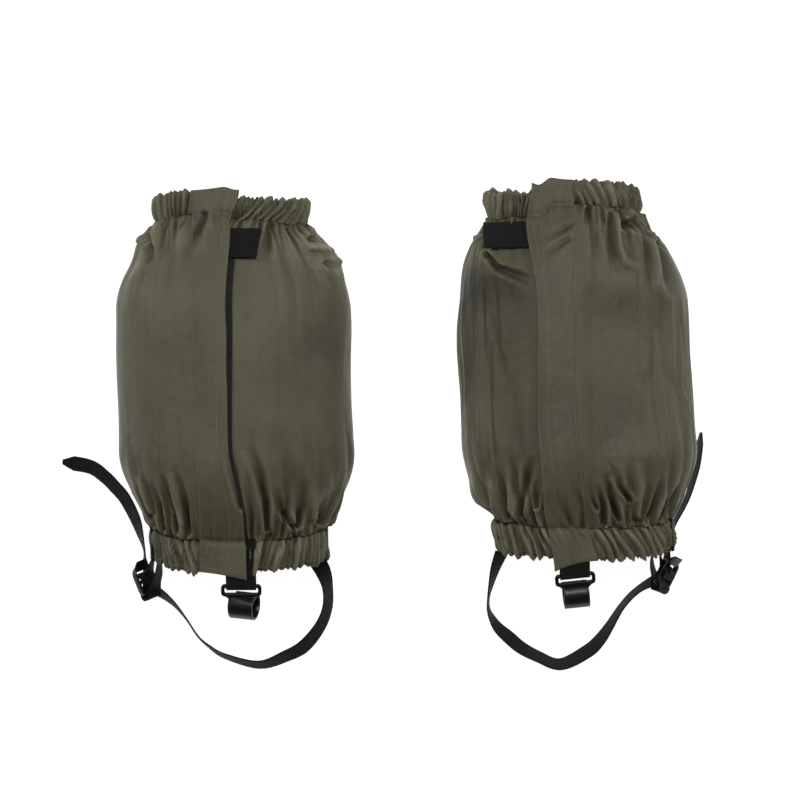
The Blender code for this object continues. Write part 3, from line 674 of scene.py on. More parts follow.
def elastic_material():
    nodes = Nodes("black_elastic")
    uv = nodes.coordinates()
    ribs = nodes.ribs(uv, "Y", 0.0011)
    lint = nodes.noise(nodes.scaled(uv, (900.0, 900.0, 1.0)), 1.0, 3.0)
    tone = nodes.math("MULTIPLY", ribs, lint)
    colour = nodes.ramp(tone, [(0.1, (0.006, 0.006, 0.006)), (0.5, (0.025, 0.025, 0.025))])
    nodes.bump([(ribs, 0.0003)])
    return nodes.finish(colour, nodes.span(lint, 0.6, 0.8), 0.35, 0.05)


# ---------------------------------------------------------------- making meshes
def new_object(name, mesh, materials, smooth_angle=None):
    for material in materials:
        mesh.materials.append(material)
    mesh.shade_smooth()
    if smooth_angle is not None:
        mesh.set_sharp_from_angle(angle=math.radians(smooth_angle))
    created = bpy.data.objects.new(name, mesh)
    bpy.context.scene.collection.objects.link(created)
    return created


def fit(piece, body, node):
    """Ties a piece to its body and hides the solid that it shows."""
    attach(piece, body)
    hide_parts(node)


def spans(points):
    """The running length along a list of points."""
    lengths = [0.0]
    for first, second in zip(points, points[1:]):
        lengths.append(lengths[-1] + (second - first).length)
    return lengths


def grid_uv(grid):
    """UV in metres for a grid of points: V down the rows, U along each row from its first column."""
    rows = len(grid)
    down = spans([row[len(row) // 2] for row in grid])
    across = [spans(row) for row in grid]
    return [[(across[i][j], down[i]) for j in range(len(grid[i]))] for i in range(rows)]


def sheet_mesh(name, grid):
    """An open sheet through a grid of points, with UV in metres."""
    rows = len(grid)
    columns = len(grid[0])
    vertices = [point for row in grid for point in row]
    uv = [pair for row in grid_uv(grid) for pair in row]
    faces = []
    for i in range(rows - 1):
        for j in range(columns - 1):
            corner = i * columns + j
            faces.append((corner, corner + 1, corner + columns + 1, corner + columns))
    return mesh_with_uv(name, vertices, faces, uv)


def mesh_with_uv(name, vertices, faces, uv):
    mesh = bpy.data.meshes.new(name)
    mesh.from_pydata([tuple(vertex) for vertex in vertices], [], faces)
    layer = mesh.uv_layers.new(name="UVMap")
    for loop in mesh.loops:
        layer.data[loop.index].uv = uv[loop.vertex_index]
    mesh.update()
    return mesh


def turn_outwards(mesh):
    builder = bmesh.new()
    builder.from_mesh(mesh)
    bmesh.ops.recalc_face_normals(builder, faces=builder.faces)
    builder.to_mesh(mesh)
    builder.free()


def closed_grid(name, outer, inner):
    """A closed body between two grids of points with the same rows and columns."""
    rows = len(outer)
    columns = len(outer[0])
    size = rows * columns
    vertices = [point for row in outer for point in row] + [point for row in inner for point in row]
    uv = [pair for row in grid_uv(outer) for pair in row] * 2
    faces = []
    for i in range(rows - 1):
        for j in range(columns - 1):
            corner = i * columns + j
            face = (corner, corner + 1, corner + columns + 1, corner + columns)
            faces.append(face)
            faces.append(tuple(size + index for index in reversed(face)))
    for i in range(rows - 1):
        for edge in (0, columns - 1):
            first = i * columns + edge
            faces.append((first, first + columns, size + first + columns, size + first))
    for j in range(columns - 1):
        for edge in (0, (rows - 1) * columns):
            first = edge + j
            faces.append((first, first + 1, size + first + 1, size + first))
    mesh = mesh_with_uv(name, vertices, faces, uv)
    turn_outwards(mesh)
    return mesh


def looped_sweep(name, sections):
    """A closed body through sections, each a loop of points. U runs round the loop, V along."""
    count = len(sections[0])
    down = spans([section[0] for section in sections])
    vertices = [point for section in sections for point in section]
    uv = []
    for section, along in zip(sections, down):
        uv.extend((around, along) for around in spans(section))
    faces = []
    for i in range(len(sections) - 1):
        for k in range(count):
            after = (k + 1) % count
            start = i * count
            faces.append((start + k, start + after, start + count + after, start + count + k))
    faces.append(tuple(range(count)))
    last = (len(sections) - 1) * count
    faces.append(tuple(last + k for k in range(count)))
    mesh = mesh_with_uv(name, vertices, faces, uv)
    turn_outwards(mesh)
    return mesh


def smooth_route(points, steps):
    """A Catmull-Rom curve through the points, each point a Vector of any size."""
    first = points[0] * 2 - points[1]
    last = points[-1] * 2 - points[-2]
    padded = [first, *points, last]
    curve = []
    for before, start, end, after in zip(padded, padded[1:], padded[2:], padded[3:]):
        for step in range(steps):
            t = step / steps
            curve.append(
                0.5
                * (
                    2 * start
                    + (end - before) * t
                    + (2 * before - 5 * start + 4 * end - after) * t**2
                    + (3 * start - before - 3 * end + after) * t**3
                )
            )
    curve.append(points[-1])
    return curve


def add_subdivision(piece):
    modifier = piece.modifiers.new("Subdivision", "SUBSURF")
    modifier.levels = 1
    modifier.render_levels = 1


# ---------------------------------------------------------------- gathers
class Gathers:
    """Rounded folds of uneven width between sharp valleys, round a ring that runs from 0 to 1."""

    def __init__(self, seed, count, spread):
        source = random.Random(seed)
        widths = [source.uniform(1 - spread, 1 + spread) for _ in range(count)]
        total = sum(widths)
        self.edges = [0.0]
        for width in widths:
            self.edges.append(self.edges[-1] + width / total)
        self.strengths = [min(width, 1.35) for width in widths]

    def fold(self, u):
        """The fold's height at u, from 0 in a valley to about 1 on a full ridge."""
        u = min(max(u, 0.0), 0.999999)
        low = 0
        high = len(self.strengths) - 1
        while low < high:
            middle = (low + high) // 2
            if u < self.edges[middle + 1]:
                high = middle
            else:
                low = middle + 1
        share = (u - self.edges[low]) / (self.edges[low + 1] - self.edges[low])
        return self.strengths[low] * math.sin(math.pi * share) ** 0.55


# ---------------------------------------------------------------- the sleeve
SLEEVE_COLUMNS = 240
SLEEVE_ROWS = 100
SLEEVE_FOLDS = 31
FOLD_DEPTH = 0.0068
SLEEVE_SHEET = 0.0006
FLAT_GIRTH = 0.500
SIM_FRAMES = 32
CREASE_SCALE = 1.75
VALLEYS = (40, 46)
VALLEY_DEPTH = (0.0018, 0.0058)
VALLEY_LENGTH = (0.010, 0.044)
DEEPEST_VALLEY = -0.0090
HIGHEST_RIDGE = 0.0060
MOST_SHIFT = 0.010
# How the coated fabric behaves as cloth.
CLOTH_SETTINGS = {
    "quality": 4,
    "mass": 0.15,
    "tension_stiffness": 25,
    "compression_stiffness": 25,
    "shear_stiffness": 6,
    "bending_stiffness": 0.12,
    "tension_damping": 8,
    "compression_damping": 8,
    "shear_damping": 6,
    "bending_damping": 0.5,
    "air_damping": 2,
    "use_pressure": True,
    "uniform_pressure_force": 1.6,
}


def sleeve_angles(gaiter, y):
    """The angles at which the sleeve's fabric starts, at the hinge, and ends, at the underlap."""
    start = front_angle(y, gaiter.hinge_out(y) - SEAM_TUCK)
    end = front_angle(y, gaiter.edge_out(y) + UNDERLAP_REACH) - 2 * math.pi
    return start, end


def row_level(share):
    """The level of a row of the sleeve, closer together near the gather lines."""
    share = share - math.sin(2 * math.pi * share) * 0.035
    return TOP_GATHER_Y + (BOTTOM_GATHER_Y - TOP_GATHER_Y) * share


def sleeve_grid(gaiter, lift_at):
    """The sleeve's points, where lift_at(u, y) adds to its smooth surface."""
    grid = []
    for j in range(SLEEVE_ROWS + 1):
        y = row_level(j / SLEEVE_ROWS)
        start, end = sleeve_angles(gaiter, y)
        row = []
        for i in range(SLEEVE_COLUMNS + 1):
            u = i / SLEEVE_COLUMNS
            angle = start + (end - start) * u
            row.append(gaiter.on_sleeve(y, angle, gaiter.climb(y, angle) + lift_at(u, y)))
        grid.append(row)
    return grid


def make_fold_lift(gaiter, depth, reach):
    """The lift of the gathers at (u, y): deep at each gather line, dying out towards the middle."""
    top = Gathers(gaiter.seed, SLEEVE_FOLDS, 0.55)
    bottom = Gathers(gaiter.seed + 1, SLEEVE_FOLDS + 3, 0.6)

    def lift_at(u, y):
        side = smooth(min(u, 1 - u) / 0.045)
        total = 0.0
        for folds, distance in ((top, TOP_GATHER_Y - y), (bottom, y - BOTTOM_GATHER_Y)):
            drift = 0.10 * noise.noise(Vector((u * 5, folds.edges[1] * 90, 0.3)))
            uneven = 0.75 + 0.6 * noise.noise(Vector((u * 11, 7.7, folds.edges[1] * 50)))
            length = reach * (0.8 + 0.9 * noise.noise(Vector((u * 14, folds.edges[2] * 70, 2.1))))
            fade = math.exp(-distance / max(length, 0.01))
            total += depth * uneven * fade * (folds.fold(u + drift * distance) - 0.55)
        return total * side

    return lift_at


def simulate_sleeve(gaiter, start_grid):
    """Lets the gathered fabric settle as cloth, held at the two gather lines and the closure."""
    rows = len(start_grid)
    columns = len(start_grid[0])
    mesh = sheet_mesh("settling", start_grid)
    cloth_object = bpy.data.objects.new("settling", mesh)
    bpy.context.scene.collection.objects.link(cloth_object)
    cloth_object.shape_key_add(name="Basis")
    flat = cloth_object.shape_key_add(name="Cut")
    radius = FLAT_GIRTH / (2 * math.pi)
    index = 0
    for j in range(rows):
        share = j / (rows - 1)
        y = TOP_GATHER_Y + (BOTTOM_GATHER_Y - TOP_GATHER_Y) * share
        start, end = sleeve_angles(gaiter, y)
        for i in range(columns):
            angle = start + (end - start) * i / (columns - 1)
            flat.data[index].co = (radius * math.cos(angle), y * 1.05, radius * math.sin(angle))
            index += 1
    held = cloth_object.vertex_groups.new(name="held")
    for j in range(rows):
        for i in range(columns):
            if j in (0, rows - 1) or i < 3 or i > columns - 5:
                held.add([j * columns + i], 1.0, "REPLACE")
    modifier = cloth_object.modifiers.new("Cloth", "CLOTH")
    settings = modifier.settings
    for setting, value in CLOTH_SETTINGS.items():
        setattr(settings, setting, value)
    settings.vertex_group_mass = "held"
    settings.rest_shape_key = flat
    settings.effector_weights.gravity = 0
    modifier.collision_settings.use_collision = False
    modifier.collision_settings.use_self_collision = False
    modifier.point_cache.frame_start = 1
    modifier.point_cache.frame_end = SIM_FRAMES
    for frame_number in range(1, SIM_FRAMES + 1):
        bpy.context.scene.frame_set(frame_number)
    evaluated = cloth_object.evaluated_get(bpy.context.evaluated_depsgraph_get())
    settled = evaluated.to_mesh()
    points = [vertex.co.copy() for vertex in settled.vertices]
    evaluated.to_mesh_clear()
    bpy.data.objects.remove(cloth_object, do_unlink=True)
    bpy.context.scene.frame_set(1)
    return [points[j * columns : (j + 1) * columns] for j in range(rows)]


def settle(gaiter, start_grid, settled):
    """Keeps the settled points close to where they started, and flat beside the flap."""
    smooth_grid = sleeve_grid(gaiter, lambda u, y: 0.0)
    columns = len(start_grid[0])
    result = []
    for calm_row, start_row, row in zip(smooth_grid, start_grid, settled):
        new_row = []
        for i, (calm, start, point) in enumerate(zip(calm_row, start_row, row)):
            u = i / (columns - 1)
            shift = point - calm
            if shift.length > MOST_SHIFT:
                shift = shift * (MOST_SHIFT / shift.length)
            kept = smooth((1 - u) / 0.09) * smooth(u / 0.03)
            base = start if kept <= 0 else calm.lerp(calm + shift, kept)
            new_row.append(base)
        result.append(new_row)
    return result


def refined(grid):
    """Doubles a grid of points, first down and then across, on smooth curves through them."""
    points = np.array([[tuple(point) for point in row] for row in grid])
    for _ in range(2):
        padded = np.concatenate([2 * points[:1] - points[1:2], points, 2 * points[-1:] - points[-2:-1]])
        middles = (9 * (padded[1:-2] + padded[2:-1]) - padded[:-3] - padded[3:]) / 16
        doubled = np.empty((2 * len(points) - 1, *points.shape[1:]))
        doubled[0::2] = points
        doubled[1::2] = middles
        points = doubled.transpose(1, 0, 2)
    return points


def fold_profile(share):
    """A fold's section: 1 on its line, falling through 0 to a low hollow on each side."""
    return (1 - share**2) * np.exp(-(share**2) / 2)


def crease_lift(gaiter, across, along):
    """What the gaiter's own creases add at points given in metres from its centre."""
    lift = np.zeros_like(across)
    for rise, half, *line in gaiter.creases:
        nearest = np.full_like(across, 1.0)
        place = np.zeros_like(across)
        pieces = len(line) - 1
        for index, (first, second) in enumerate(zip(line, line[1:])):
            first = np.array(first) / 1000
            span = np.array(second) / 1000 - first
            share = ((across - first[0]) * span[0] + (along - first[1]) * span[1]) / (span @ span)
            share = np.clip(share, 0.0, 1.0)
            away = np.hypot(across - first[0] - share * span[0], along - first[1] - share * span[1])
            closer = away < nearest
            place = np.where(closer, (index + share) / pieces, place)
            nearest = np.where(closer, away, nearest)
        width = half / 1000 * (0.70 + 0.9 * place)
        fade = np.minimum(1.0, 1.15 * (1 - place)) ** 0.8
        lift += CREASE_SCALE * rise / 1000 * fade * fold_profile(nearest / width)
    return lift


def gather_valleys(gaiter, around, level):
    """Sharp valleys that run out of both gather lines, by distance round the ring and level."""
    source = random.Random(gaiter.seed + 40)
    girth = around.max()
    lift = np.zeros_like(around)
    for gather, direction, count in ((TOP_GATHER_Y, -1.0, VALLEYS[0]), (BOTTOM_GATHER_Y, 1.0, VALLEYS[1])):
        distance = np.maximum((level - gather) * direction, 0.0)
        for index in range(count):
            start = girth * (index + source.uniform(0.1, 0.9)) / count
            depth = source.uniform(*VALLEY_DEPTH)
            length = source.uniform(*VALLEY_LENGTH)
            slant = source.uniform(-0.16, 0.16)
            bend = source.uniform(-1.2, 1.2)
            width = source.uniform(0.0014, 0.0022) + 0.060 * distance
            line = start + slant * distance + bend * distance**2
            lift -= depth * np.exp(-((distance / length) ** 1.6)) * fold_profile((around - line) / width)
    return lift


def finish_sleeve(gaiter, grid, cuffs):
    """Adds the swellings, valleys and creases, and pinches the fabric in at each gather line."""
    points = refined(grid)
    rows, columns = points.shape[:2]
    steps = np.linalg.norm(np.diff(points, axis=1), axis=2)
    around = np.concatenate([np.zeros((rows, 1)), np.cumsum(steps, axis=1)], axis=1)
    around *= around[rows // 2, -1] / around[:, -1:]
    normals = np.empty_like(points)
    angles = np.empty((rows, columns))
    levels = np.empty((rows, columns))
    texture = np.empty((rows, columns))
    for j in range(rows):
        y = row_level(j / (rows - 1))
        start, end = sleeve_angles(gaiter, y)
        near = min(TOP_GATHER_Y - y, y - BOTTOM_GATHER_Y)
        for i in range(columns):
            u = i / (columns - 1)
            angle = start + (end - start) * u
            normals[j, i] = gaiter.frame_at(y, angle)[1]
            angles[j, i] = angle
            levels[j, i] = y
            fine = noise.noise(Vector((u * 70 + gaiter.seed, y * 20, 4.4)))
            broad = noise.noise(Vector((u * 9 + gaiter.seed, y * 22, 8.8)))
            texture[j, i] = fine * (0.0002 + 0.0010 * math.exp(-near / 0.016)) + broad * 0.0014
            if near < 0.030:
                cuff = cuffs["top" if y > 0 else "bottom"]
                texture[j, i] += 0.72 * cuff.pleat(u, -near / 0.024) * math.exp(-near / 0.009)
    share = np.linspace(0.0, 1.0, columns)[None, :]
    beside = np.clip(np.minimum(share, 1 - share) / 0.030, 0.0, 1.0)
    beside = beside * beside * (3 - 2 * beside)
    lift = texture + gather_valleys(gaiter, around, levels)
    front = np.sin(angles) > 0
    across = points[:, :, 0] - gaiter.centre[0]
    along = points[:, :, 1] - gaiter.centre[1]
    lift += np.where(front, crease_lift(gaiter, across, along), 0.0)
    near_gather = np.minimum(TOP_GATHER_Y - levels, levels - BOTTOM_GATHER_Y)
    lift -= 0.0007 * np.maximum(0.0, 1 - near_gather / 0.0030) ** 2
    lift = np.clip(lift, DEEPEST_VALLEY, HIGHEST_RIDGE)
    for side, level, stand, reach in gaiter.swells:
        facing = np.maximum(0.0, side * np.cos(angles)) ** 2
        near_level = np.exp(-(((levels - level) / reach) ** 2))
        lift += stand * facing * near_level * np.clip(near_gather / 0.012, 0.0, 1.0)
    # The fold heights lift the points and are also kept to paint shade into the valleys and highlight onto
    # the ridges.
    fold_height_for_shade = lift * beside
    points += normals * fold_height_for_shade[:, :, None]
    for edge, cuff in ((0, cuffs["top"]), (rows - 1, cuffs["bottom"])):
        strays = np.array([cuff.waver(i / (columns - 1)) for i in range(columns)])
        reach = np.exp(-np.abs(levels[:, 0] - levels[edge, 0]) / 0.004)
        points[:, :, 1] += reach[:, None] * strays[None, :]
    points[:, :, 2] = np.maximum(points[:, :, 2], 0.0012)
    return [[Vector(point) for point in row] for row in points], fold_height_for_shade.ravel()


def add_sleeve(gaiter, cuffs, fabric, coating):
    start_grid = sleeve_grid(gaiter, make_fold_lift(gaiter, FOLD_DEPTH, 0.040))
    grid = start_grid
    grid = settle(gaiter, start_grid, simulate_sleeve(gaiter, start_grid))
    grid, fold_height_for_shade = finish_sleeve(gaiter, grid, cuffs)
    mesh = sheet_mesh(f"{gaiter.name}_sleeve", grid)
    # Painted shade in the sleeve's fold valleys and painted highlight on its ridges.
    mark_folds(mesh, fold_height_for_shade, FULL_FOLD["sleeve"])
    middle = mesh.polygons[len(mesh.polygons) // 2 + SLEEVE_COLUMNS // 2]
    outwards = Vector((middle.center.x - gaiter.centre[0], 0.0, middle.center.z - 0.04))
    if middle.normal.dot(outwards) < 0:
        mesh.flip_normals()
    sleeve = new_object(f"{gaiter.name}_sleeve", mesh, [fabric, coating])
    thickness = sleeve.modifiers.new("Thickness", "SOLIDIFY")
    thickness.thickness = SLEEVE_SHEET
    thickness.offset = -1.0
    thickness.material_offset = 1
    thickness.use_even_offset = False
    name = gaiter.name
    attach(sleeve, f"{name}_gaiter")
    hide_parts(f"{name}_outer_panel", f"{name}_inner_panel")


# ---------------------------------------------------------------- cuffs
CUFF_COLUMNS = 900
CUFF_PLEATS = {"top": 58, "bottom": 70}
PLEAT_DEPTH = {"top": 0.0060, "bottom": 0.0056}
CUFF_PROFILE = (
    (0.00, -0.0008),
    (0.04, 0.0000),
    (0.10, 0.0006),
    (0.20, 0.0010),
    (0.34, 0.0013),
    (0.48, 0.0014),
    (0.62, 0.0013),
    (0.76, 0.0010),
    (0.88, 0.0006),
    (0.95, 0.0000),
    (0.99, -0.0008),
    (1.00, -0.0016),
    (0.98, -0.0024),
    (0.93, -0.0032),
    (0.75, -0.0040),
    (0.50, -0.0042),
    (0.25, -0.0040),
    (0.05, -0.0034),
)


# The elastic's section inside the casing, in the same terms as the casing's own.
BAND_PROFILE = (
    (0.12, -0.0016),
    (0.50, -0.0012),
    (0.86, -0.0016),
    (0.86, -0.0028),
    (0.50, -0.0030),
    (0.12, -0.0028),
)


class Cuff:
    """The gathered casing at one end of a gaiter."""

    def __init__(self, gaiter, end):
        self.gaiter = gaiter
        self.end = end
        self.gather = TOP_GATHER_Y if end == "top" else BOTTOM_GATHER_Y
        self.hem = TOP_HEM_Y if end == "top" else BOTTOM_HEM_Y
        self.pleats = Gathers(gaiter.seed + (5 if end == "top" else 6), CUFF_PLEATS[end], 0.6)
        self.ripples = Gathers(gaiter.seed + 8 + len(end), round(CUFF_PLEATS[end] * 2.3), 0.6)
        self.drift_seed = gaiter.seed * 1.7 + len(end)
        self.lean = gaiter.cuff_lean[end]

    def pleat(self, u, t):
        """How far the surface stands out at u round the ring and t from gather line to hem."""
        lean = self.lean[0] + (self.lean[1] - self.lean[0]) * smooth(u)
        lean += 0.016 * noise.noise(Vector((u * 9, self.drift_seed, 0.0)))
        sway = 0.0030 * math.sin(3 * t + 5 * noise.noise(Vector((u * 20, 1.0, self.drift_seed))))
        fold = self.pleats.fold(u + lean * (t - 0.5) + sway)
        ripple = self.ripples.fold(u + 0.6 * lean * (t - 0.5) + 2 * sway)
        uneven = 0.80 + 0.80 * noise.noise(Vector((u * 45, t * 1.9, self.drift_seed)))
        rippled = 0.24 + 0.30 * noise.noise(Vector((u * 26, t * 2.6, self.drift_seed + 9.0)))
        side = smooth(min(u / 0.012, (1 - u) / 0.02))
        return PLEAT_DEPTH[self.end] * side * (uneven * (fold - 0.60) + rippled * (ripple - 0.6))

    def waver(self, u):
        """How far the gather line strays towards the hem at u."""
        side = smooth(min(u / 0.02, (1 - u) / 0.03))
        away = noise.noise(Vector((u * 38, 6.1, self.drift_seed)))
        towards_hem = math.copysign(1.0, self.hem - self.gather)
        return towards_hem * side * (0.0022 * away - 0.10 * self.pleat(u, 0.0))

    def point(self, u, t, lift):
        y = self.gather + (self.hem - self.gather) * t
        y += self.waver(u) * max(0.0, 1 - 2.5 * t) if lift > -0.003 else 0.0
        start, end = sleeve_angles(self.gaiter, y)
        angle = start + (end - start) * u
        stand = self.pleat(u, t)
        strength = 0.72 + 0.28 * math.sin(math.pi * min(max(t, 0.0), 1.0)) ** 0.5
        towards_hem = math.copysign(1.0, self.hem - self.gather)
        edge_wave = 0.0016 * noise.noise(Vector((u * 30, 3.3, self.drift_seed)))
        ruffle = towards_hem * (0.75 * stand + edge_wave) * t * t
        total_lift = self.gaiter.climb(y, angle) + lift + stand * strength
        point = self.gaiter.on_sleeve(y + ruffle, angle, total_lift)
        point.z = max(point.z, 0.0008)
        return point


def add_cuff(cuff, fabric, elastic, thread):
    gaiter = cuff.gaiter
    name = f"{gaiter.name}_{cuff.end}"
    sections = []
    fold_height_for_shade = []
    for k in range(CUFF_COLUMNS + 1):
        u = k / CUFF_COLUMNS
        sections.append([cuff.point(u, t, lift) for t, lift in CUFF_PROFILE])
        # Painted shade in the pleats' valleys and painted highlight on their ridges, with the whole casing's
        # painted shade set a little darker.
        fold_height_for_shade.extend(cuff.pleat(u, t) - CUFF_SHADE for t, _ in CUFF_PROFILE)
    mesh = looped_sweep(f"{name}_casing", sections)
    mark_folds(mesh, fold_height_for_shade, FULL_FOLD["cuff"])
    casing = new_object(f"{name}_casing", mesh, [fabric])
    fit(casing, f"{gaiter.name}_gaiter", f"{name}_cuff")

    band_sections = []
    for k in range(241):
        u = k / 240
        section = []
        for t, lift in BAND_PROFILE:
            y = cuff.gather + (cuff.hem - cuff.gather) * t
            start, finish = sleeve_angles(gaiter, y)
            angle = start + (finish - start) * u
            point = gaiter.on_sleeve(y, angle, gaiter.climb(y, angle) + lift + 0.2 * cuff.pleat(u, t))
            point.z = max(point.z, 0.0016)
            section.append(point)
        band_sections.append(section)
    band = new_object(f"{name}_elastic_band", looped_sweep(f"{name}_elastic_band", band_sections), [elastic])
    fit(band, f"{gaiter.name}_gaiter", f"{name}_elastic")

    lines = []
    for t, lift in ((0.045, -0.0004), (0.86, 0.0013)):
        samples = [cuff.point(k / 900, t, lift) for k in range(4, 897)]
        normals = []
        for k in range(4, 897):
            y = cuff.gather + (cuff.hem - cuff.gather) * t
            start, finish = sleeve_angles(gaiter, y)
            normals.append(gaiter.frame_at(y, start + (finish - start) * k / 900)[1])
        lines.append((samples, normals))
    stitching = add_stitches(f"{name}_cuff_stitching", lines, thread)
    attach(stitching, f"{gaiter.name}_gaiter")


# ---------------------------------------------------------------- stitching
STITCH_LENGTH = 0.0021
STITCH_PERIOD = 0.0030
THREAD_RADIUS = 0.00028


def resampled(points, normals, period):
    """Starts of stitches along a line: pairs of (from, to, normal)."""
    lengths = spans(points)
    total = lengths[-1]
    result = []
    place = 0.0
    index = 0

    def at(distance):
        nonlocal index
        while index < len(points) - 2 and lengths[index + 1] < distance:
            index += 1
        gap = max(lengths[index + 1] - lengths[index], 1e-9)
        share = min(max((distance - lengths[index]) / gap, 0.0), 1.0)
        return points[index].lerp(points[index + 1], share), normals[index]

    while place + STITCH_LENGTH < total:
        first, normal = at(place)
        second, _ = at(place + STITCH_LENGTH)
        result.append((first, second, normal))
        place += period
    return result


def add_stitches(name, lines, thread, period=STITCH_PERIOD):
    """Short raised stitches of thread along each line of (points, normals)."""
    vertices = []
    faces = []
    for points, normals in lines:
        for first, second, normal in resampled(points, normals, period):
            along = second - first
            if along.length < 1e-5:
                continue
            side = along.cross(normal).normalized()
            start = len(vertices)
            shape = ((0.0, 0.25, -0.6), (0.25, 1.0, 0.6), (0.75, 1.0, 0.6), (1.0, 0.25, -0.6))
            for share, wide, high in shape:
                middle = first + along * share + normal * THREAD_RADIUS * high
                for turn in range(6):
                    angle = math.pi / 3 * turn
                    ring = side * math.cos(angle) + normal * math.sin(angle)
                    vertices.append(middle + ring * THREAD_RADIUS * wide)
            for ring in range(3):
                for turn in range(6):
                    low = start + ring * 6
                    after = (turn + 1) % 6
                    faces.append((low + turn, low + after, low + 6 + after, low + 6 + turn))
            faces.append(tuple(start + turn for turn in reversed(range(6))))
            faces.append(tuple(start + 18 + turn for turn in range(6)))
    mesh = bpy.data.meshes.new(name)
    mesh.from_pydata([tuple(vertex) for vertex in vertices], [], faces)
    mesh.update()
    return new_object(name, mesh, [thread])


# ---------------------------------------------------------------- the flap and its tapes
FLAP_MAP_ROWS = 240
FLAP_MAP_COLUMNS = 28


class Flap:
    """The closing strip: its surface between the hinge line (0) and its free edge (1)."""

    def __init__(self, gaiter):
        self.gaiter = gaiter
        self.top = Gathers(gaiter.seed + 21, 7, 0.5)
        self.bottom = Gathers(gaiter.seed + 22, 8, 0.5)
        self.creases = self.map_creases()

    def width(self, y):
        return self.gaiter.hinge_out(y) - self.gaiter.edge_out(y)

    def map_creases(self):
        """The gaiter's creases where they cross the flap, on a grid of levels and shares."""
        span = TOP_HEM_Y - BOTTOM_HEM_Y + 0.004
        across = np.empty((FLAP_MAP_ROWS, FLAP_MAP_COLUMNS))
        along = np.empty_like(across)
        for j in range(FLAP_MAP_ROWS):
            y = TOP_HEM_Y + 0.002 - span * j / (FLAP_MAP_ROWS - 1)
            for i in range(FLAP_MAP_COLUMNS):
                share = i / (FLAP_MAP_COLUMNS - 1)
                out = self.gaiter.hinge_out(y) - self.width(y) * share
                point = self.gaiter.frame_at(y, front_angle(y, out))[0]
                across[j, i] = point.x - self.gaiter.centre[0]
                along[j, i] = point.y - self.gaiter.centre[1]
        return crease_lift(self.gaiter, across, along)

    def crease_at(self, y, share):
        span = TOP_HEM_Y - BOTTOM_HEM_Y + 0.004
        row = min(max((TOP_HEM_Y + 0.002 - y) / span, 0.0), 0.9999) * (FLAP_MAP_ROWS - 1)
        column = min(max(share, 0.0), 0.9999) * (FLAP_MAP_COLUMNS - 1)
        j, i = int(row), int(column)
        down, over = row - j, column - i
        near = self.creases[j, i] * (1 - over) + self.creases[j, i + 1] * over
        far = self.creases[j + 1, i] * (1 - over) + self.creases[j + 1, i + 1] * over
        return near * (1 - down) + far * down

    def wrinkle(self, y, share):
        """Pleats where the cuffs draw the flap in, its own creases, and slow waves between."""
        gaiter = self.gaiter
        lift = self.crease_at(y, share)
        for folds, gather, hem in (
            (self.top, TOP_GATHER_Y, TOP_HEM_Y),
            (self.bottom, BOTTOM_GATHER_Y, BOTTOM_HEM_Y),
        ):
            inside = (y - gather) * math.copysign(1.0, hem - gather)
            near = math.exp(-((abs(inside) / (0.012 if inside < 0 else 0.020)) ** 1.5))
            if near > 0.002:
                bend = 0.16 * noise.noise(Vector((y * 30, share * 2.0, gaiter.seed)))
                uneven = 0.7 + 0.7 * noise.noise(Vector((share * 6, y * 50, gaiter.seed + 3.0)))
                fold = folds.fold((share + 6.0 * inside + bend) % 1.0)
                lift += gaiter.flap_pleat * near * uneven * (fold - 0.6)
            lift -= 0.0010 * math.exp(-((inside / 0.0022) ** 2))
        lift += 0.0009 * noise.noise(Vector((y * 17, share * 1.3, gaiter.seed * 1.3)))
        return lift

    def point(self, y, share, lift):
        gaiter = self.gaiter
        waver = 0.0006 * noise.noise(Vector((y * 40, gaiter.seed, 5.0)))
        out = gaiter.hinge_out(y) - (self.width(y) + waver) * share
        shape = self.wrinkle(y, share) * smooth(share / 0.22)
        hem = smooth((share * self.width(y) - (self.width(y) - EDGE_HEM)) / 0.0012)
        shape += 0.00035 * hem
        droop = -gaiter.droop * share**2 * smooth((-0.118 - y) / 0.03)
        droop += gaiter.top_rise * share**2.2 * smooth((y - 0.128) / 0.025)
        point, normal = gaiter.frame_at(y, front_angle(y, out))
        return point + normal * (lift + shape) + Vector((0.0, droop, 0.0)), normal

    def blend(self, piece):
        """Bakes the transform of a piece of the flap into its mesh."""
        gaiter = self.gaiter
        start = gaiter.on_front(0.0, gaiter.blend_from, FLAP_TOP)
        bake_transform(piece)


def levels_between(high, low, step):
    count = max(2, round((high - low) / step))
    return [high + (low - high) * k / count for k in range(count + 1)]


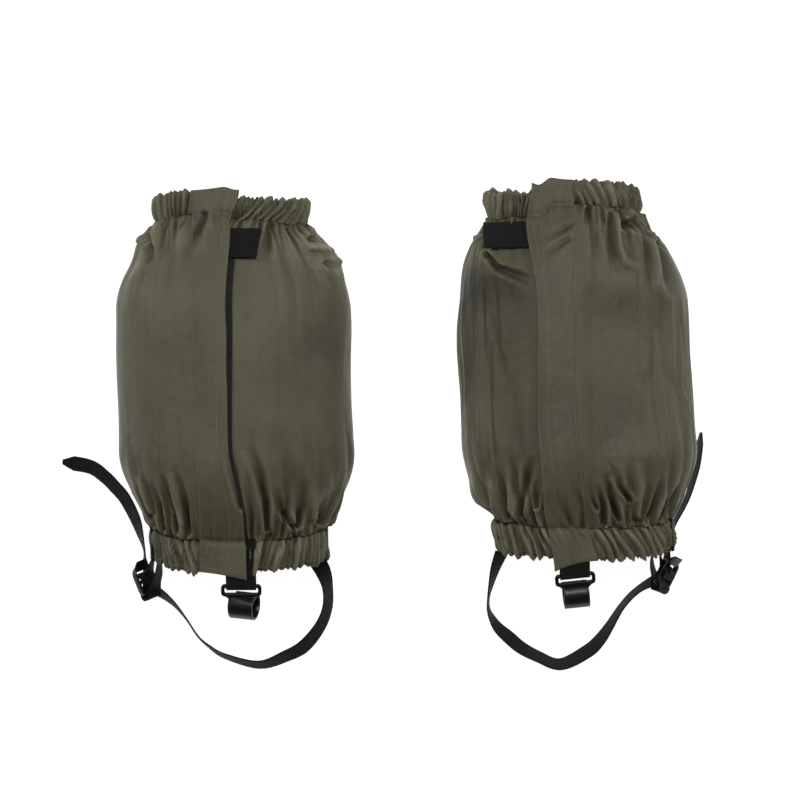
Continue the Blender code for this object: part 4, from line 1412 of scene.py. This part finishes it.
def add_flap(gaiter, fabric, loop, thread):
    flap = Flap(gaiter)
    name = gaiter.name
    levels = levels_between(TOP_HEM_Y + 0.0008, BOTTOM_HEM_Y - 0.0008, 0.0017)
    shares = [k / 26 for k in range(27)]
    outer = [[flap.point(y, share, FLAP_TOP)[0] for share in shares] for y in levels]
    inner = [[flap.point(y, share, FLAP_TOP - 0.0009)[0] for share in shares] for y in levels]
    mesh = closed_grid(f"{name}_flap_cloth", outer, inner)
    # Painted shade in the flap's wrinkle valleys and painted highlight on its ridges.
    mark_folds(mesh, [flap.wrinkle(y, share) for y in levels for share in shares] * 2, FULL_FOLD["flap"])
    cloth = new_object(f"{name}_flap_cloth", mesh, [fabric])
    add_subdivision(cloth)
    flap.blend(cloth)
    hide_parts(f"{name}_front_flap")
    flap.width(0.0) + EDGE_HEM

    low_level = BOTTOM_GATHER_Y - 0.001
    tape_levels = levels_between(TOP_GATHER_Y - 0.004, low_level, 0.0025)
    reach = 1 - EDGE_HEM / flap.width(0.0)
    tape_shares = [0.05 + (reach - 0.05) * k / 14 for k in range(15)]
    high = FLAP_TOP - 0.0011
    upper = [[flap.point(y, share, high)[0] for share in tape_shares] for y in tape_levels]
    lower = []
    for y in tape_levels:
        row = []
        for share in tape_shares:
            fuzz = 0.00015 * noise.noise(Vector((y * 900, share * 40, 0.0)))
            row.append(flap.point(y, share, high - TAPE + fuzz)[0])
        lower.append(row)
    tape = new_object(f"{name}_loop_strip", closed_grid(f"{name}_loop_strip", upper, lower), [loop])
    flap.blend(tape)
    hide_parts(f"{name}_loop_tape")

    lines = []
    inset = 0.0012 / flap.width(0.0)
    runs = [0.03, 1 - EDGE_HEM / flap.width(0.0), 1 - inset]
    for share in runs:
        stitch_levels = levels_between(TOP_HEM_Y - 0.002, BOTTOM_HEM_Y + 0.002, 0.0012)
        samples = [flap.point(y, share, FLAP_TOP + 0.0001) for y in stitch_levels]
        lines.append(([point for point, _ in samples], [normal for _, normal in samples]))
    for level in (TOP_GATHER_Y, TOP_HEM_Y - 0.0035, BOTTOM_GATHER_Y, BOTTOM_HEM_Y + 0.0035):
        samples = [flap.point(level, 0.04 + 0.93 * k / 40, FLAP_TOP + 0.0001) for k in range(41)]
        lines.append(([point for point, _ in samples], [normal for _, normal in samples]))
    for level_top, level_bottom in gaiter.bar_tacks:
        steps = 26
        samples = []
        for k in range(steps + 1):
            y = level_top + (level_bottom - level_top) * k / steps
            share = 1 - (0.0035 + (0.0040 if k % 2 else 0.0)) / flap.width(y)
            samples.append(flap.point(y, share, FLAP_TOP + 0.0002))
        lines.append(([point for point, _ in samples], [normal for _, normal in samples]))
    stitching = add_stitches(f"{name}_flap_stitching", lines, thread)
    flap.blend(stitching)


LEFT.flap_pleat = 0.0016
RIGHT.flap_pleat = 0.0011
LEFT.bar_tacks = ((0.128, 0.104),)
RIGHT.bar_tacks = ((0.152, 0.136), (0.132, 0.095))


def add_underlap(gaiter, fabric, hooks):
    name = gaiter.name
    levels = levels_between(TOP_HEM_Y - 0.0015, BOTTOM_HEM_Y + 0.0015, 0.004)
    outer = []
    inner = []
    for y in levels:
        start = gaiter.hinge_out(y) - UNDERLAP_INSET
        end = gaiter.edge_out(y) + UNDERLAP_REACH
        outs = [start + (end - start) * k / 8 for k in range(9)]
        outer.append([gaiter.on_front(y, out, 0.0001) for out in outs])
        inner.append([gaiter.on_front(y, out, -0.0011) for out in outs])
    facing = new_object(f"{name}_facing", closed_grid(f"{name}_facing", outer, inner), [fabric])
    fit(facing, f"{name}_gaiter", f"{name}_underlap")

    tape_levels = levels_between(gaiter.tape_top, BOTTOM_GATHER_Y - 0.004, 0.003)
    upper = []
    lower = []
    for y in tape_levels:
        near = gaiter.edge_out(y) - between(FLAP_LEVELS, gaiter.tape_showing, y)
        outs = [near + HOOK_TAPE_WIDTH * k / 12 for k in range(13)]
        upper.append([gaiter.on_front(y, out, LAYER_GAP + 0.0007) for out in outs])
        lower.append([gaiter.on_front(y, out, LAYER_GAP) for out in outs])
    mesh = closed_grid(f"{name}_hook_strip", upper, lower)
    builder = bmesh.new()
    builder.from_mesh(mesh)
    source = random.Random(gaiter.seed)
    for y in levels_between(gaiter.tape_top - 0.001, BOTTOM_GATHER_Y - 0.003, 0.0017):
        near = gaiter.edge_out(y) - between(FLAP_LEVELS, gaiter.tape_showing, y)
        for k in range(15):
            out = near + 0.0008 + HOOK_TAPE_WIDTH * 0.94 * k / 14
            base, normal = gaiter.frame_at(y, front_angle(y, out))
            base = base + normal * (LAYER_GAP + 0.0007)
            lean = Vector((source.uniform(-1, 1), source.uniform(-1, 1), 0.0)) * 0.0003
            tip = builder.verts.new(base + normal * 0.0007 + lean)
            ring = []
            for corner in ((1, 0), (0, 1), (-1, 0), (0, -1)):
                ring.append(builder.verts.new(base + Vector((corner[0], corner[1], 0.0)) * 0.0003))
            for first, second in zip(ring, ring[1:] + ring[:1]):
                builder.faces.new((first, second, tip))
    builder.to_mesh(mesh)
    builder.free()
    tape = new_object(f"{name}_hook_strip", mesh, [hooks])
    fit(tape, f"{name}_gaiter", f"{name}_hook_tape")


# ---------------------------------------------------------------- webbing pieces
# Half of the webbing's section, as shares of half its width and half its thickness.
WEBBING_PROFILE = (
    (1.0, 0.0),
    (0.985, 0.75),
    (0.93, 1.0),
    (0.5, 1.0),
    (0.0, 1.0),
    (-0.5, 1.0),
    (-0.93, 1.0),
    (-0.985, 0.75),
)


def webbing_band(name, points, across, width, thickness, material, rib=0.0019, rib_height=0.00014):
    """Woven webbing along the points: rounded edges and raised cross ribs."""
    lengths = spans(points)
    step = rib / 5
    count = max(8, round(lengths[-1] / step))
    sections = []
    index = 0
    last = len(points) - 1
    for k in range(count + 1):
        distance = lengths[-1] * k / count
        while index < last - 1 and lengths[index + 1] < distance:
            index += 1
        share = (distance - lengths[index]) / max(lengths[index + 1] - lengths[index], 1e-9)
        point = points[index].lerp(points[index + 1], share)
        side = across[index].lerp(across[index + 1], share)
        along = (points[index + 1] - points[index]).normalized()
        before = points[max(index - 1, 0)]
        after = points[min(index + 2, last)]
        heading = (point - before).normalized().lerp((after - point).normalized(), share)
        along = heading.normalized() if heading.length > 1e-6 else along
        side = (side - side.dot(along) * along).normalized()
        face = along.cross(side)
        half = width(distance, lengths[-1]) / 2 if callable(width) else width / 2
        rise = thickness / 2 - rib_height + rib_height * math.sin(2 * math.pi * distance / rib)
        upper = [point + side * half * x + face * rise * z for x, z in WEBBING_PROFILE]
        lower = [point - side * half * x - face * rise * z for x, z in WEBBING_PROFILE]
        sections.append(upper + lower)
    return new_object(name, looped_sweep(name, sections), [material])


def route_points(gaiter, route, steps):
    """Points and width directions of a strap from route points of (x, y, z, tilt)."""
    curve = smooth_route([Vector(point) for point in route], steps)
    points = [Vector((gaiter.centre[0] + p[0], gaiter.centre[1] + p[1], p[2])) for p in curve]
    last = len(points) - 1
    across = []
    for i, sample in enumerate(curve):
        along = points[min(i + 1, last)] - points[max(i - 1, 0)]
        along.z = 0.0
        level = along.normalized().cross(UP)
        tilt = math.radians(sample[3])
        across.append(level * math.cos(tilt) + UP * math.sin(tilt))
    return points, across


def add_straps(gaiter, webbing):
    name = gaiter.name
    points, across = route_points(gaiter, gaiter.strap_route, 6)
    strap = webbing_band(f"{name}_strap_webbing", points, across, STRAP_WIDTH, STRAP_THICKNESS, webbing)
    fit(strap, f"{name}_strap", f"{name}_foot_strap")

    points, across = route_points(gaiter, gaiter.tail_route, 6)

    def tip_width(distance, total):
        left = total - distance
        return STRAP_WIDTH * (0.30 + 0.70 * min(1.0, left / 0.010))

    tail = webbing_band(f"{name}_tail_webbing", points, across, tip_width, STRAP_THICKNESS, webbing)
    fit(tail, f"{name}_buckle", f"{name}_strap_tail")


def add_pull_tab(gaiter, webbing):
    """Stiff ribbed webbing sewn under the flap's edge near the top."""
    edge = gaiter.edge_out(gaiter.tab_level)
    steps = 60
    rows = 17
    upper = []
    lower = []
    for r in range(rows):
        side = 2 * r / (rows - 1) - 1
        y = gaiter.tab_level + TAB_WIDTH / 2 * side
        sewn = [gaiter.on_front(y, edge + 0.0080 * share, TAB_LIFT + 0.0004) for share in (1.0, 0.5, 0.0)]
        heading = (sewn[-1] - sewn[-2]).normalized()
        reach = gaiter.tab_reach * (1 - gaiter.tab_slant * (0.5 - side / 2))
        points = list(sewn)
        for k in range(steps):
            rise = gaiter.tab_curl * ((k + 1) / steps) ** 2
            turned = Vector((heading.x, 0.0, heading.z + math.tan(rise) * abs(heading.x)))
            points.append(points[-1] + turned.normalized() * reach / steps)
        lengths = spans(points)
        top_row = []
        low_row = []
        for k, (point, distance) in enumerate(zip(points, lengths)):
            before = points[max(k - 1, 0)]
            after = points[min(k + 1, len(points) - 1)]
            along = (after - before).normalized()
            normal = along.cross(Vector((0.0, 1.0, 0.0)))
            if normal.z < 0:
                normal = -normal
            rib = 0.00038 * abs(math.sin(math.pi * distance / 0.0037)) ** 0.6
            edge_round = 1 - max(0.0, abs(side) - 0.86) / 0.14 * 0.5
            stand = (TAB_THICKNESS / 2 + rib) * edge_round
            top_row.append(point + normal * stand)
            low_row.append(point - normal * stand)
        upper.append(top_row)
        lower.append(low_row)
    name = f"{gaiter.name}_tab_webbing"
    tab = new_object(name, closed_grid(name, upper, lower), [webbing])
    fit(tab, f"{gaiter.name}_flap", f"{gaiter.name}_pull_tab")


def hook_bar(gaiter):
    """The middle of the lace hook's top bar, past the flap's bottom hem."""
    hem = gaiter.place(*cad_front(gaiter, BOTTOM_HEM_Y, gaiter.hook_out, FLAP_LIFT - LAYER_GAP - 0.0009))
    return hem - Vector((0.0, gaiter.hook_reach, gaiter.hook_drop))


def cad_front(gaiter, y, out, lift):
    """The CAD's own point on the front at this level, as (out, y, z) before it is placed."""
    point, normal = gaiter.frame_at(y, front_angle(y, out))
    point = point + normal * lift
    shift = 0.0135 - gaiter.bottom_bow
    side = (point.x - gaiter.centre[0] - gaiter.lean * (point.y - gaiter.centre[1])) * gaiter.outer_side
    return side, point.y - gaiter.centre[1] - shift, point.z


def hook_frame(gaiter):
    """The lace hook's own directions: across, down its length, and out of its front."""
    turn = Matrix.Rotation(gaiter.hook_turn, 3, "Z")
    across = turn @ Vector((1.0, 0.0, 0.0))
    down = turn @ Vector((0.0, -math.cos(HOOK_DROOP), -math.sin(HOOK_DROOP)))
    return across, down, across.cross(down) * -1.0


def add_hook_webbing(gaiter, webbing):
    """A folded loop of webbing: sewn under the flap's hem and round the hook's top bar."""
    bar = hook_bar(gaiter)
    across, down, front = hook_frame(gaiter)
    columns = 14
    shifts = [HOOK_WEBBING_WIDTH * (k / columns - 0.5) for k in range(columns + 1)]
    levels = levels_between(BOTTOM_HEM_Y + gaiter.hook_sewn, BOTTOM_HEM_Y + 0.001, 0.0004)
    radius = HOOK_BAR / math.sqrt(2) + GAP
    high = FLAP_LIFT - LAYER_GAP + 0.0002
    rows = []
    for y in levels:
        row = []
        for shift in shifts:
            out = gaiter.hook_out + gaiter.outer_side * shift
            point, normal = gaiter.frame_at(y, front_angle(y, out))
            row.append((point + normal * (high - HOOK_WEBBING / 2), normal))
        rows.append(row)
    bend = []
    for k in range(13):
        turn = math.pi * k / 12
        spoke = front * math.cos(turn) + down * math.sin(turn)
        centre = radius + HOOK_WEBBING / 2
        bend.append([(bar + across * shift + spoke * centre, spoke) for shift in shifts])
    first = rows[-1]
    bridge = []
    for k in range(1, 24):
        share = k / 24
        row = []
        for (start, start_normal), (end, end_normal) in zip(first, bend[0]):
            row.append((start.lerp(end, share), start_normal.lerp(end_normal, share).normalized()))
        bridge.append(row)
    back = []
    for k in range(1, 20):
        share = k / 19
        row = []
        for (end, end_normal), (start, start_normal) in zip(bend[-1], first):
            target = start - start_normal * (HOOK_WEBBING + 0.0006)
            row.append((end.lerp(target, share), end_normal.lerp(-start_normal, share).normalized()))
        back.append(row)
    grid = rows + bridge + bend + back
    down_lengths = spans([row[columns // 2][0] for row in grid])
    outer = []
    inner = []
    for row, distance in zip(grid, down_lengths):
        rib = 0.00016 * math.sin(2 * math.pi * distance / 0.0024)
        outer.append([point + normal * (HOOK_WEBBING / 2 + rib) for point, normal in row])
        inner.append([point - normal * HOOK_WEBBING / 2 for point, normal in row])
    name = f"{gaiter.name}_hook_loop"
    loop = new_object(name, closed_grid(name, outer, inner), [webbing])
    fit(loop, f"{gaiter.name}_flap", f"{gaiter.name}_hook_webbing")


def add_sewn_ends(gaiter, webbing):
    """The webbing ends sewn flat to the outside of the bottom cuff, one at each side."""
    for piece, start, end in (("strap_anchor", 168, 196), ("keeper_patch", 13, -16)):
        columns = 14
        outer = []
        inner = []
        for y in levels_between(BOTTOM_GATHER_Y + 0.0015, BOTTOM_HEM_Y - 0.0010, 0.0005):
            rib = 0.00014 * math.sin(2 * math.pi * y / 0.0019)
            angles = [math.radians(start + (end - start) * k / columns) for k in range(columns + 1)]
            outer.append([gaiter.on_sleeve(y, angle, 0.0036 + rib) for angle in angles])
            inner.append([gaiter.on_sleeve(y, angle, 0.0018) for angle in angles])
        name = f"{gaiter.name}_{piece}_webbing"
        patch = new_object(name, closed_grid(name, outer, inner), [webbing])
        fit(patch, f"{gaiter.name}_gaiter", f"{gaiter.name}_{piece}")


def buckle_axes(gaiter):
    """The buckle's lower bar's middle, and its directions: along its bars, its length, its face."""
    along = Matrix.Rotation(gaiter.buckle_turn, 3, "Z") @ Vector((0.0, 1.0, 0.0))
    bars = Matrix.Rotation(gaiter.buckle_roll, 3, along) @ UP
    origin = Vector((*gaiter.centre, 0.0)) + Vector((*gaiter.buckle_bar, BUCKLE_LOW + BUCKLE_WIDTH / 2))
    return origin, bars, along, along.cross(bars)


def add_keeper(gaiter, webbing):
    """A short loop that hangs from the cuff's hem and runs round the buckle's lower bar."""
    bar, bars, _, _ = buckle_axes(gaiter)
    hem = Vector((*gaiter.centre, bar.z)) + Vector((gaiter.keeper_x, BOTTOM_HEM_Y + 0.002, 0.0))
    down = (bar - hem).normalized()
    side = down.cross(UP)
    turned = down.cross(bars).normalized()
    radius = math.hypot(BUCKLE_BAR, BUCKLE_THICKNESS) / 2 + GAP + KEEPER_THICKNESS / 2
    apart = 0.0010
    control = []
    across = []

    def add(point, lean):
        control.append(point)
        across.append(UP.lerp(bars, lean).normalized())

    add(hem + side * apart, 0.0)
    for share in (0.25, 0.5, 0.75):
        bulge = 0.0036 * math.sin(math.pi * share)
        add(hem.lerp(bar, share) + side.lerp(turned, share) * (apart + bulge), share)
    for k in range(7):
        turn = math.pi * k / 6
        add(bar + turned * radius * math.cos(turn) + down * radius * math.sin(turn), 1.0)
    for share in (0.75, 0.5, 0.25):
        bulge = 0.0036 * math.sin(math.pi * share)
        add(hem.lerp(bar, share) - side.lerp(turned, share) * (apart + bulge), share)
    add(hem - side * apart, 0.0)
    points = smooth_route(control, 4)
    widths = smooth_route(across, 4)
    name = f"{gaiter.name}_keeper_webbing"
    keeper = webbing_band(name, points, widths, STRAP_WIDTH, KEEPER_THICKNESS, webbing)
    fit(keeper, f"{gaiter.name}_gaiter", f"{gaiter.name}_keeper_loop")


# ---------------------------------------------------------------- plastic hardware
HOOK_CORNER = 0.0034
HOOK_BEVEL = 0.0007
BUCKLE_CORNER = 0.0075
BUCKLE_BEVEL = 0.0009
SLOT_CORNER = 0.0012


def rounded_loop(half_x, half_y, corner, steps=5):
    """Points round a rectangle with rounded corners, in its own plane."""
    points = []
    for centre_x, centre_y, start in (
        (half_x - corner, half_y - corner, 0),
        (corner - half_x, half_y - corner, 90),
        (corner - half_x, corner - half_y, 180),
        (half_x - corner, corner - half_y, 270),
    ):
        for k in range(steps + 1):
            angle = math.radians(start + 90 * k / steps)
            points.append((centre_x + corner * math.cos(angle), centre_y + corner * math.sin(angle)))
    return points


def plate_with_holes(outline, holes, thickness):
    """A flat plate in XY with holes, both given as lists of (x, y)."""
    builder = bmesh.new()
    edges = []
    for loop in (outline, *holes):
        made = [builder.verts.new((x, y, 0.0)) for x, y in loop]
        for first, second in zip(made, made[1:] + made[:1]):
            edges.append(builder.edges.new((first, second)))
    bmesh.ops.triangle_fill(builder, use_beauty=True, use_dissolve=False, edges=edges)
    bmesh.ops.recalc_face_normals(builder, faces=builder.faces)
    extruded = bmesh.ops.extrude_face_region(builder, geom=list(builder.faces))
    moved = [item for item in extruded["geom"] if isinstance(item, bmesh.types.BMVert)]
    bmesh.ops.translate(builder, vec=(0.0, 0.0, thickness), verts=moved)
    bmesh.ops.translate(builder, vec=(0.0, 0.0, -thickness / 2), verts=builder.verts)
    bmesh.ops.recalc_face_normals(builder, faces=builder.faces)
    return builder


def add_bevel(piece, width):
    modifier = piece.modifiers.new("Bevel", "BEVEL")
    modifier.width = width
    modifier.segments = 3
    modifier.limit_method = "ANGLE"
    modifier.angle_limit = math.radians(40)


def moulded(name, builder, matrix, material, bevel):
    mesh = bpy.data.meshes.new(name)
    builder.to_mesh(mesh)
    builder.free()
    mesh.transform(matrix)
    piece = new_object(name, mesh, [material], 35)
    add_bevel(piece, bevel)
    return piece


# Places across the curled strip, as shares of half its width; a ridge stands near each side.
HOOK_RIDGES = (1.0, 0.96, 0.80, 0.74, 0.68, 0.3, 0.0, -0.3, -0.68, -0.74, -0.80, -0.96, -1.0)


def add_lace_hook(gaiter, plastic):
    """A slotted frame whose lower bar runs on into a strip curled into an open ring."""
    bar = hook_bar(gaiter)
    across, down, front = hook_frame(gaiter)
    local = Matrix.Translation(bar) @ Matrix((across, -down, front)).transposed().to_4x4()
    half_bar = HOOK_BAR / 2
    frame_height = 2 * HOOK_BAR + HOOK_SLOT_HEIGHT
    centre_y = half_bar - frame_height / 2
    edge = rounded_loop(HOOK_FRAME_WIDTH / 2, frame_height / 2, HOOK_CORNER)
    outline = [(x, y + centre_y) for x, y in edge]
    slot_half = HOOK_FRAME_WIDTH / 2 - HOOK_BAR
    slot = [(x, y + centre_y) for x, y in rounded_loop(slot_half, HOOK_SLOT_HEIGHT / 2, SLOT_CORNER)]
    name = f"{gaiter.name}_hook"
    flat_plate = plate_with_holes(outline, [slot], HOOK_BAR)
    plate = moulded(f"{name}_frame", flat_plate, local, plastic, HOOK_BEVEL)

    lower_bar = half_bar - frame_height + half_bar
    first = math.asin(HOOK_CURL_DEPTH / HOOK_CURL_RADIUS)
    curl_y = lower_bar - 0.003 - HOOK_CURL_RADIUS * math.cos(first)
    points = [Vector((0.0, lower_bar + 0.001, 0.0)), Vector((0.0, lower_bar - 0.001, -0.0002))]
    steps = 44
    for k in range(steps + 1):
        turn = first + HOOK_CURL_SWEEP * k / steps
        y = curl_y + HOOK_CURL_RADIUS * math.cos(turn)
        z = -HOOK_CURL_DEPTH + HOOK_CURL_RADIUS * math.sin(turn)
        points.append(Vector((0.0, y, z)))
    lip = (points[-1] - points[-2]).normalized()
    points.append(points[-1] + (lip + Vector((0.0, 0.0, -1.0))).normalized() * 0.0015)
    points.append(points[-1] + Vector((0.0, 0.3, -1.0)).normalized() * 0.0015)
    lengths = spans(points)
    sections = []
    last = len(points) - 1
    for i, (point, distance) in enumerate(zip(points, lengths)):
        along = (points[min(i + 1, last)] - points[max(i - 1, 0)]).normalized()
        face = along.cross(Vector((1.0, 0.0, 0.0)))
        shoulder = smooth(1 - (distance - 0.0015) / 0.0045)
        half = HOOK_STRIP_WIDTH / 2 + (HOOK_FRAME_WIDTH / 2 - 0.002 - HOOK_STRIP_WIDTH / 2) * shoulder
        wall = HOOK_WALL / 2 * (1 if i < last - 1 else 0.8)
        profile = []
        for x in HOOK_RIDGES:
            edge = 0.55 if abs(x) == 1.0 else 1.0
            ridge = 0.00022 if abs(abs(x) - 0.74) < 0.01 else 0.0
            profile.append(point + Vector((half * x, 0.0, 0.0)) - face * (wall * edge + ridge))
        for x in reversed(HOOK_RIDGES):
            edge = 0.55 if abs(x) == 1.0 else 1.0
            profile.append(point + Vector((half * x, 0.0, 0.0)) + face * wall * edge)
        twist = Matrix.Rotation(-gaiter.hook_roll * smooth((distance - 0.0015) / 0.0080), 3, "Y")
        sections.append([twist @ corner for corner in profile])
    curl_mesh = looped_sweep(f"{name}_curl", sections)
    curl_mesh.transform(local)
    curl = new_object(f"{name}_curl", curl_mesh, [plastic], 50)

    for piece in (plate, curl):
        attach(piece, f"{gaiter.name}_hook")
    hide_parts(f"{gaiter.name}_lace_hook")


def add_buckle(gaiter, plastic, webbing):
    """A ladder lock standing nearly on edge: two rails, three bars and a flared thumb tab."""
    origin, bars, along, face = buckle_axes(gaiter)
    local = Matrix.Translation(origin) @ Matrix((bars, along, face)).transposed().to_4x4()
    half_bar = BUCKLE_BAR / 2
    centre_y = BUCKLE_LENGTH / 2 - half_bar
    edge = rounded_loop(BUCKLE_WIDTH / 2, BUCKLE_LENGTH / 2, BUCKLE_CORNER)
    outline = [(x, y + centre_y) for x, y in edge]
    slot_length = (BUCKLE_LENGTH - 3 * BUCKLE_BAR) / 2
    slots = []
    for index in range(2):
        slot_y = half_bar + index * (slot_length + BUCKLE_BAR) + slot_length / 2
        half_slot = BUCKLE_WIDTH / 2 - BUCKLE_RAIL
        slots.append([(x, y + slot_y) for x, y in rounded_loop(half_slot, slot_length / 2, SLOT_CORNER)])
    name = f"{gaiter.name}_buckle"
    flat_plate = plate_with_holes(outline, slots, BUCKLE_THICKNESS)
    plate = moulded(f"{name}_frame", flat_plate, local, plastic, BUCKLE_BEVEL)

    tab_sections = []
    steps = 12
    for k in range(steps + 1):
        share = k / steps
        y = BUCKLE_LENGTH - 2 * BUCKLE_BAR + 0.0085 * share
        z = 0.0050 * share**1.5
        half = BUCKLE_WIDTH / 2 * (0.78 - 0.25 * share**2)
        thick = BUCKLE_THICKNESS / 2 * (0.85 - 0.45 * share)
        groove = 0.0003 * (k % 2)
        loop = rounded_loop(half, thick - groove, thick * 0.8, 3)
        tab_sections.append([Vector((x, y, z + depth)) for x, depth in loop])
    tab_mesh = looped_sweep(f"{name}_thumb_tab", tab_sections)
    tab_mesh.transform(local)
    thumb = new_object(f"{name}_thumb_tab", tab_mesh, [plastic], 45)
    for piece in (plate, thumb):
        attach(piece, f"{gaiter.name}_buckle")
    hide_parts(f"{gaiter.name}_ladder_lock")

    # The strap where it passes up through one slot, over the middle bar and down the other.
    over = ((0.0052, -0.0034), (0.0068, -0.0006), (0.0092, 0.0030), (0.0124, 0.0040))
    path = [*over, *[(2 * over[-1][0] - y, z) for y, z in reversed(over[:-1])]]
    points = smooth_route([origin + along * y + face * z for y, z in path], 5)
    across = [bars.copy() for _ in points]
    threaded_name = f"{name}_threaded_webbing"
    threaded = webbing_band(threaded_name, points, across, STRAP_WIDTH, STRAP_THICKNESS, webbing)
    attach(threaded, f"{gaiter.name}_buckle")


# ---------------------------------------------------------------- the whole scene
add_camera()
add_studio()
webbing = webbing_material()
for gaiter in (LEFT, RIGHT):
    add_straps(gaiter, webbing)

fabric = fabric_material()
coating = coating_material()
hooks = fuzz_material("hook_tape_fibres", (0.004, 0.004, 0.004), (0.026, 0.026, 0.026), 0.0005)
loops = fuzz_material("loop_tape_fibres", (0.006, 0.006, 0.006), (0.030, 0.030, 0.030), 0.0008)
plastic = plastic_material()
elastic = elastic_material()
olive_thread = thread_material("olive_thread", (0.125, 0.120, 0.080), (0.210, 0.200, 0.140))
for gaiter in (LEFT, RIGHT):
    cuffs = {end: Cuff(gaiter, end) for end in ("top", "bottom")}
    add_sleeve(gaiter, cuffs, fabric, coating)
    for cuff in cuffs.values():
        add_cuff(cuff, fabric, elastic, olive_thread)
    add_flap(gaiter, fabric, loops, olive_thread)
    add_underlap(gaiter, fabric, hooks)
    add_pull_tab(gaiter, webbing)
    add_hook_webbing(gaiter, webbing)
    add_sewn_ends(gaiter, webbing)
    add_keeper(gaiter, webbing)
    add_lace_hook(gaiter, plastic)
    add_buckle(gaiter, plastic, webbing)
